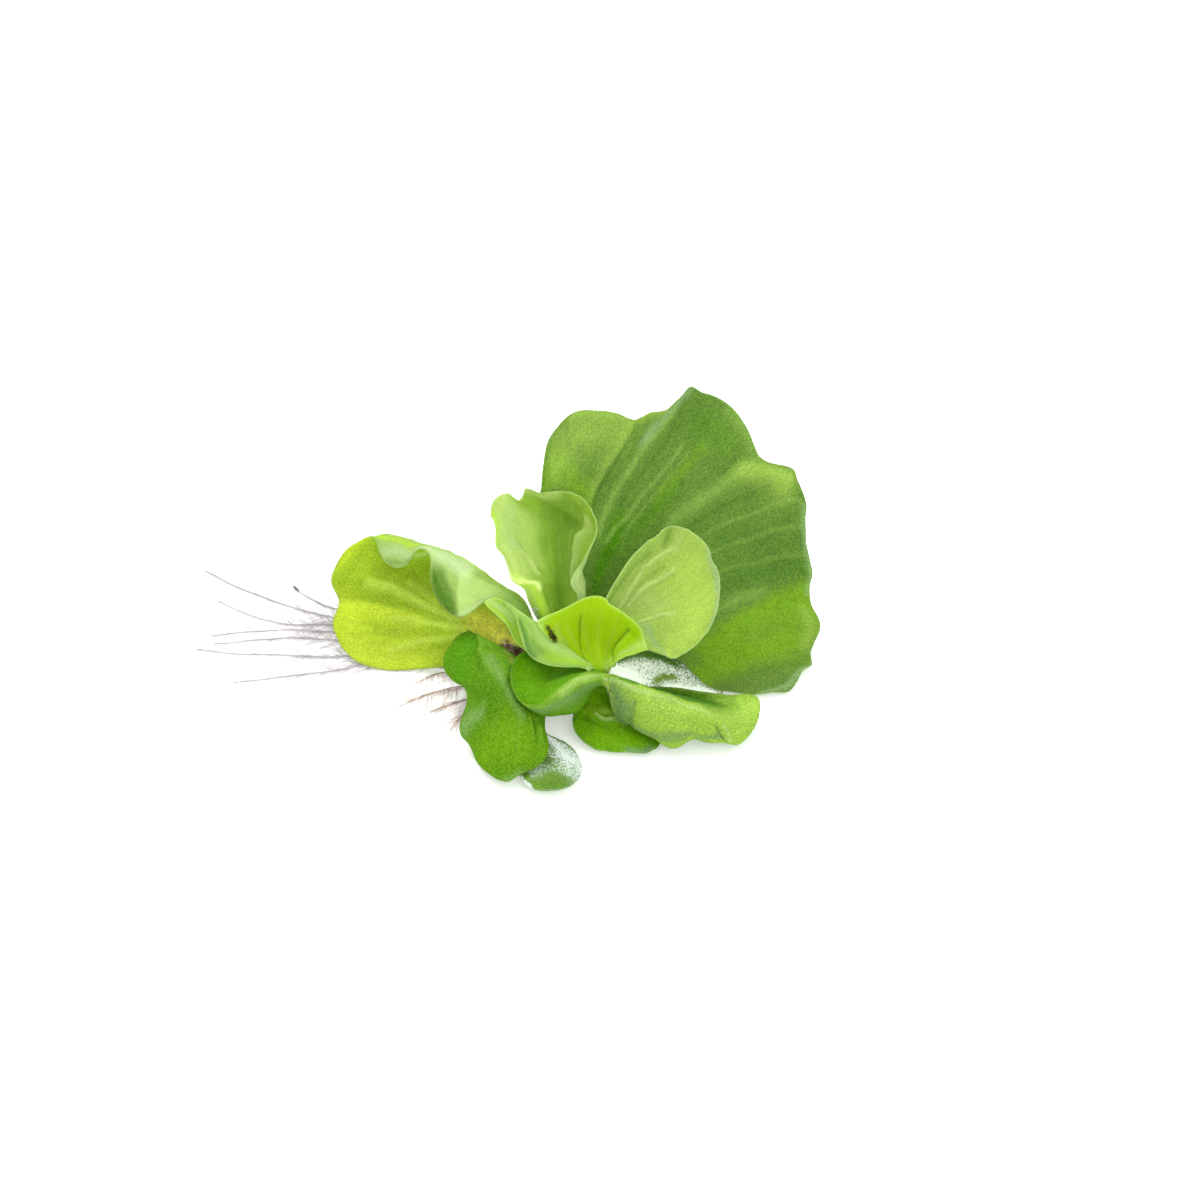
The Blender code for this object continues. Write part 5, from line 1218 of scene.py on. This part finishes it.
def fibre(name, dark, light):
    """Dry plant hair, grown thin and flat: papery, a little shiny, brown to straw."""
    material, tree = new_material(name)
    place = node(tree, "ShaderNodeTexCoord")
    patches = node(tree, "ShaderNodeTexNoise", {
        "Vector": place.outputs["Object"], "Scale": 1000 / FIBRE_PATCH, "Detail": 2.0, "Roughness": 0.6})
    colour = node(tree, "ShaderNodeValToRGB", {"Fac": patches.outputs["Fac"]})
    straws = colour.color_ramp.elements
    straws[0].position = 0.38
    straws[0].color = linear(dark)
    straws[1].position = 0.6
    straws[1].color = linear(light)
    skin = node(tree, "ShaderNodeBsdfPrincipled", {"Base Color": colour.outputs["Color"], "Roughness": 0.5,
                                                   "Specular IOR Level": 0.3})
    through = node(tree, "ShaderNodeBsdfTranslucent", {"Color": colour.outputs["Color"]})
    both = node(tree, "ShaderNodeMixShader", {0: FIBRE_THROUGH, 1: skin.outputs[0], 2: through.outputs[0]})
    node(tree, "ShaderNodeOutputMaterial", {"Surface": both.outputs[0]})
    return material


# --- crown, roots and hairs -----------------------------------------------------------------------

def tube(path, radii, sides):
    """Points and faces of a closed round tube along a path, with a point at either end."""
    path, radii = np.asarray(path, float), np.asarray(radii, float)
    ahead = unit(np.gradient(path, axis=0))
    beside = unit(np.cross(ahead, (0.05, 0.03, 1.0)))
    above = np.cross(beside, ahead)
    turn = np.arange(sides) / sides * 2 * math.pi
    ring = beside[:, None] * np.cos(turn)[:, None] + above[:, None] * np.sin(turn)[:, None]
    points = (path[:, None] + ring * radii[:, None, None]).reshape(-1, 3)
    ends = path[[0, -1]] + ahead[[0, -1]] * radii[[0, -1], None] * [[-1], [1]]
    index = np.arange(len(points)).reshape(len(path), sides)
    beyond = np.roll(index, -1, axis=1)
    walls = np.stack([index[:-1], index[1:], beyond[1:], beyond[:-1]], -1).reshape(-1, 4).tolist()
    first, last = len(points), len(points) + 1
    start_cap = [(first, a, b) for a, b in zip(index[0], beyond[0])]
    end_cap = [(last, b, a) for a, b in zip(index[-1], beyond[-1])]
    return np.concatenate([points, ends]), walls + start_cap + end_cap


def bundle(name, tubes, material):
    """One mesh of many tubes."""
    points, faces = [], []
    for tube_points, tube_faces in tubes:
        start = sum(map(len, points))
        points.append(tube_points)
        faces += [tuple(int(corner) + start for corner in face) for face in tube_faces]
    mesh = bpy.data.meshes.new(name)
    mesh.from_pydata((np.concatenate(points) * MM).tolist(), [], faces)
    mesh.shade_smooth()
    mesh.materials.append(material)
    thing = into_scene(name, mesh)
    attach(thing, BODY)
    return thing


def crown_surface():
    """The crown's points in mm, old end first, with its ring scars and lumps, and its scar marks."""
    around, rings = CROWN_AROUND, CROWN_RINGS
    polar = np.linspace(0, math.pi, rings)[:, None]
    turn = np.linspace(0, 2 * math.pi, around, endpoint=False)[None, :]
    x = -np.cos(polar) + 0 * turn
    y = np.sin(polar) * np.cos(turn)
    z = np.sin(polar) * np.sin(turn)
    at = ((x + 1) / 2 * (len(CROWN_LINE) - 1)).ravel()
    middle = smooth(CROWN_LINE, at).reshape(rings, around, 3)
    girth = smooth(CROWN_GIRTH, at).reshape(rings, around) * np.sqrt(1 + x**2)
    ball = np.stack([x, y, z], -1)
    lumps = 0.35 * ripple(ball * 10, 5, 21) + 0.2 * ripple(ball * 10, 2.2, 22)
    wave = np.cos(middle[..., 0] * 2 * math.pi / SCAR_SPACING + 1.2 * ripple(ball * 10, 9, 23))
    girth = girth + lumps - SCAR_DEPTH * ramp(wave) ** 3
    points = middle.copy()
    points[..., 1] += y * girth
    upright = np.where(z > 0, CROWN_TALLNESS, CROWN_DEPTH)
    points[..., 2] = np.maximum(middle[..., 2] + z * girth * upright, 0)
    return points, ramp(wave) ** 2 * 0.8


def make_crown():
    """The crown, in its corky skin, with the ring scars that shed leaves left on it."""
    points, scars = crown_surface()
    index = np.arange(points[..., 0].size).reshape(points.shape[:2])
    beyond = np.roll(index, -1, axis=1)
    walls = np.stack([index[:-1], beyond[:-1], beyond[1:], index[1:]], -1).reshape(-1, 4)
    crown = mesh_object("crown_stem", points.reshape(-1, 3), walls[:, ::-1], {"scar": scars})
    crown.data.materials.append(corky_skin("corky crown skin"))
    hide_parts("crown")


def root_path(start, route, number, radius):
    """A root's middle line, in mm, which comes down from the crown and lies along the table."""
    length = np.linalg.norm(np.diff([start[:2], *route], axis=0), axis=1).sum()
    steps = round(length / ROOT_STEP)
    along = np.linspace(0, 1, steps)
    flat = smooth([start[:2], *route], along * len(route))
    ahead = unit(np.gradient(flat, axis=0))
    kinks = ROOT_WOBBLE * ripple(flat, 13, number) + FINE_WOBBLE * ripple(flat, 3.5, number + 40)
    flat = flat + np.stack([-ahead[:, 1], ahead[:, 0]], -1) * (kinks * ramp(along * 8))[:, None]
    radii = radius * (1 - (1 - ROOT_TIP_SHARE) * along) * (1 + 0.12 * ripple(flat, 2.6, number + 80))
    lift = (start[2] - radii) * ramp(1 - along / ROOT_SINK) ** 2
    return np.column_stack([flat, radii + lift]), radii


def side_roots(path, chance, spacing, reach, spread, bare_from, heading=None):
    """Fine roots that leave a main root and lie down on the table, sparse beyond a share of its length.

    They leave on both sides at up to the angle spread, or all within that angle of a heading.
    """
    tubes = []
    run = np.concatenate([[0], np.cumsum(np.linalg.norm(np.diff(path, axis=0), axis=1))])
    place = BARE_START * run[-1]
    while place < run[-1] - BARE_TIP:
        share = place / run[-1]
        start = np.array([np.interp(place, run, path[:, axis]) for axis in range(3)])
        k = min(int(np.searchsorted(run, place)), len(path) - 2)
        ahead = unit(path[k + 1] - path[k]) if heading is None else unit(np.array([*heading, 0.0]))
        sideways = np.array([-ahead[1], ahead[0], 0]) * chance.choice((-1, 1))
        angle = spread * math.sqrt(chance.uniform(0, 1))
        way = ahead * math.cos(angle) + sideways * math.sin(angle)
        length = reach * chance.uniform(0.25, 1.0) * (1.1 - 0.6 * share)
        bend = sideways * chance.normal(0, 0.14) * length
        f = np.linspace(0, 1, 7)[:, None]
        line = start + way * length * f + bend * f**2 + ahead * (0.15 * length) * f**2
        line = line + chance.normal(0, 0.07, line.shape) * (1, 1, 0) * np.minimum(f * 3, 1)
        floor = SIDE_ROOT_RADIUS + chance.uniform(0, 0.5)
        line[:, 2] = floor + (start[2] - floor) * (1 - f[:, 0]) ** 2.5
        width = SIDE_ROOT_RADIUS * chance.uniform(0.7, 1.3)
        tubes.append(tube(line, width * (1 - 0.6 * f[:, 0]), FINE_SIDES))
        place += spacing * chance.uniform(0.5, 1.5) * (1 + 30 * max(0, share - bare_from))
    return tubes


def make_roots():
    """The main roots, with their side roots, and the dark cap that one of them still has on its tip."""
    pale = living_root("living root", "D6D0D3", "BAB2B8")
    brown = living_root("old brown root", "DAC4B4", "B6947E")
    fine = living_root("fine side roots", "E0DADD", "C2BABF")
    fine_brown = living_root("fine brown side roots", "E2CCBE", "BC9A84")
    dark = living_root("root cap", "8E8A94", "5E5A62")
    for number, (start, route) in enumerate(ROOTS, 1):
        chance = np.random.default_rng(300 + number)
        short = number in SHORT_ROOTS
        path, radii = root_path(start, route, number, SHORT_ROOT_RADIUS if short else ROOT_RADIUS)
        main = tube(path, radii, MAIN_SIDES)
        root = bundle(f"main_root_{number:02d}", [main], brown if short else pale)
        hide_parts(f"root_{number:02d}")
        if short:
            tubes = side_roots(path, chance, *SHORT_SIDE_ROOTS, SHORT_ROOT_HEADING)
        else:
            tubes = side_roots(path, chance, *SIDE_ROOTS)
        if number == CAPPED_ROOT:
            last = path[np.linalg.norm(path - path[-1], axis=1) < ROOT_CAP]
            swell = np.sin(np.linspace(0.35, math.pi - 0.35, len(last)))
            cap = tube(last, CAP_RADIUS * swell, CAP_SIDES)
        bundle(f"side_roots_{number:02d}", tubes, fine_brown if short else fine)
    bundle("root_caps", [cap], dark)


def tuft(roots, normals, chance, length, lean, radius):
    """Curved hairs that stand on points with normals, each leaning its own way."""
    tubes = []
    f = np.linspace(0, 1, 5)[:, None]
    for root, normal in zip(roots, normals):
        side = unit(np.cross(normal, chance.normal(size=3)))
        reach = length * chance.uniform(0.5, 1.0)
        line = root - 0.05 * normal + side * lean * reach * f**1.3
        line = line + normal * reach * (0.55 * f - 0.35 * f**2)
        tubes.append(tube(line, radius * (1 - 0.7 * f[:, 0]), FINE_SIDES))
    return tubes


def hair_patch(grown, name, number, middle, reach, tilt, build, dark, light):
    """Dry hairs or remains of a sheath, on what shows of a leaf inside an ellipse of the photograph."""
    drawing, over, normal = grown
    chance = np.random.default_rng(len(name))
    away = (drawing[..., :2] - over_photo(middle)) / PIXEL
    turn = math.radians(tilt)
    along = away @ (math.cos(turn), math.sin(turn))
    across = away @ (-math.sin(turn), math.cos(turn))
    visible = normal @ (0, -math.cos(LEAN), math.sin(LEAN)) > 0
    chosen = np.argwhere((np.hypot(along / reach[0], across / reach[1]) < 1) & visible)
    rows, columns = chosen[chance.integers(0, len(chosen), number)].T
    places = over[rows, columns] + chance.normal(0, 0.15, (number, 3))
    hairs = tuft(places, normal[rows, columns], chance, *build)
    bundle(name, hairs, fibre(f"{name} fibre", dark, light))


# --- stage ----------------------------------------------------------------------------------------

TABLE_REACH = 3             # m
TABLE_GAP = 0.0002          # m under the roots


def white_table():
    """White acrylic sheet, cast and matt, lit a little from below as a photographer's table is."""
    material, tree = new_material("white acrylic table")
    matt = node(tree, "ShaderNodeBsdfPrincipled", {
        "Base Color": linear("F4F4F4"), "Roughness": 0.6,
        "Emission Color": linear("FFFFFF"), "Emission Strength": 0.28})
    node(tree, "ShaderNodeOutputMaterial", {"Surface": matt.outputs[0]})
    mesh = bpy.data.meshes.new("table")
    corners = [(x * TABLE_REACH, y * TABLE_REACH, 0) for x, y in ((-1, -1), (1, -1), (1, 1), (-1, 1))]
    mesh.from_pydata(corners, [], [(0, 1, 2, 3)])
    mesh.materials.append(material)
    table = into_scene("table", mesh)
    table.location.z = -TABLE_GAP


def soft_light(name, place, aim, size, power):
    """A round soft box, in metres and watts, that faces a point."""
    lamp = bpy.data.lights.new(name, "AREA")
    lamp.shape = "DISK"
    lamp.size = size
    lamp.energy = power
    thing = into_scene(name, lamp)
    thing.location = place
    way = np.array(aim) - np.array(place)
    lean = math.atan2(math.hypot(way[0], way[1]), -way[2])
    thing.rotation_euler = (lean, 0, math.atan2(way[1], way[0]) - math.pi / 2)


def studio():
    """A white room, a white table and two soft boxes, for an even light with pale shadows."""
    white_table()
    world = bpy.data.worlds.new("white studio")
    world.use_nodes = True
    world.node_tree.nodes["Background"].inputs["Color"].default_value = linear("FFFFFF")
    world.node_tree.nodes["Background"].inputs["Strength"].default_value = 1.0
    bpy.context.scene.world = world
    soft_light("soft box above", (-0.25, 0.35, 0.8), (0, 0, 0.02), 0.6, 5.5)
    soft_light("soft box in front", (0.35, -0.7, 0.6), (0, 0, 0.02), 0.7, 3.0)
    bpy.context.scene.view_settings.view_transform = "Standard"


def photo_camera():
    """The camera that took the photograph: level to the sides, and leaning down on the table."""
    camera = bpy.data.cameras.new("photo camera")
    camera.sensor_width = SENSOR
    camera.lens = SENSOR * EYE_DISTANCE / PHOTO_WIDTH
    camera.clip_start = 0.01
    thing = into_scene("photo camera", camera)
    right, up = EYE_AIM
    aim = np.array([right, up * math.sin(LEAN), DRAWING_HEIGHT + up * math.cos(LEAN)])
    thing.location = (aim + EYE_DISTANCE * np.array([0, -math.cos(LEAN), math.sin(LEAN)])) * MM
    thing.rotation_euler = (math.pi / 2 - LEAN, 0, 0)
    bpy.context.scene.camera = thing


photo_camera()
studio()
for leaf_name, leaf_points in LEAVES.items():
    grown = grown_leaf(leaf_name, leaf_points, LOOKS[leaf_name])
    for patch_name, hairy_leaf, *patch in HAIR_PATCHES:
        if hairy_leaf == leaf_name:
            hair_patch(grown, patch_name, *patch)
make_crown()
make_roots()
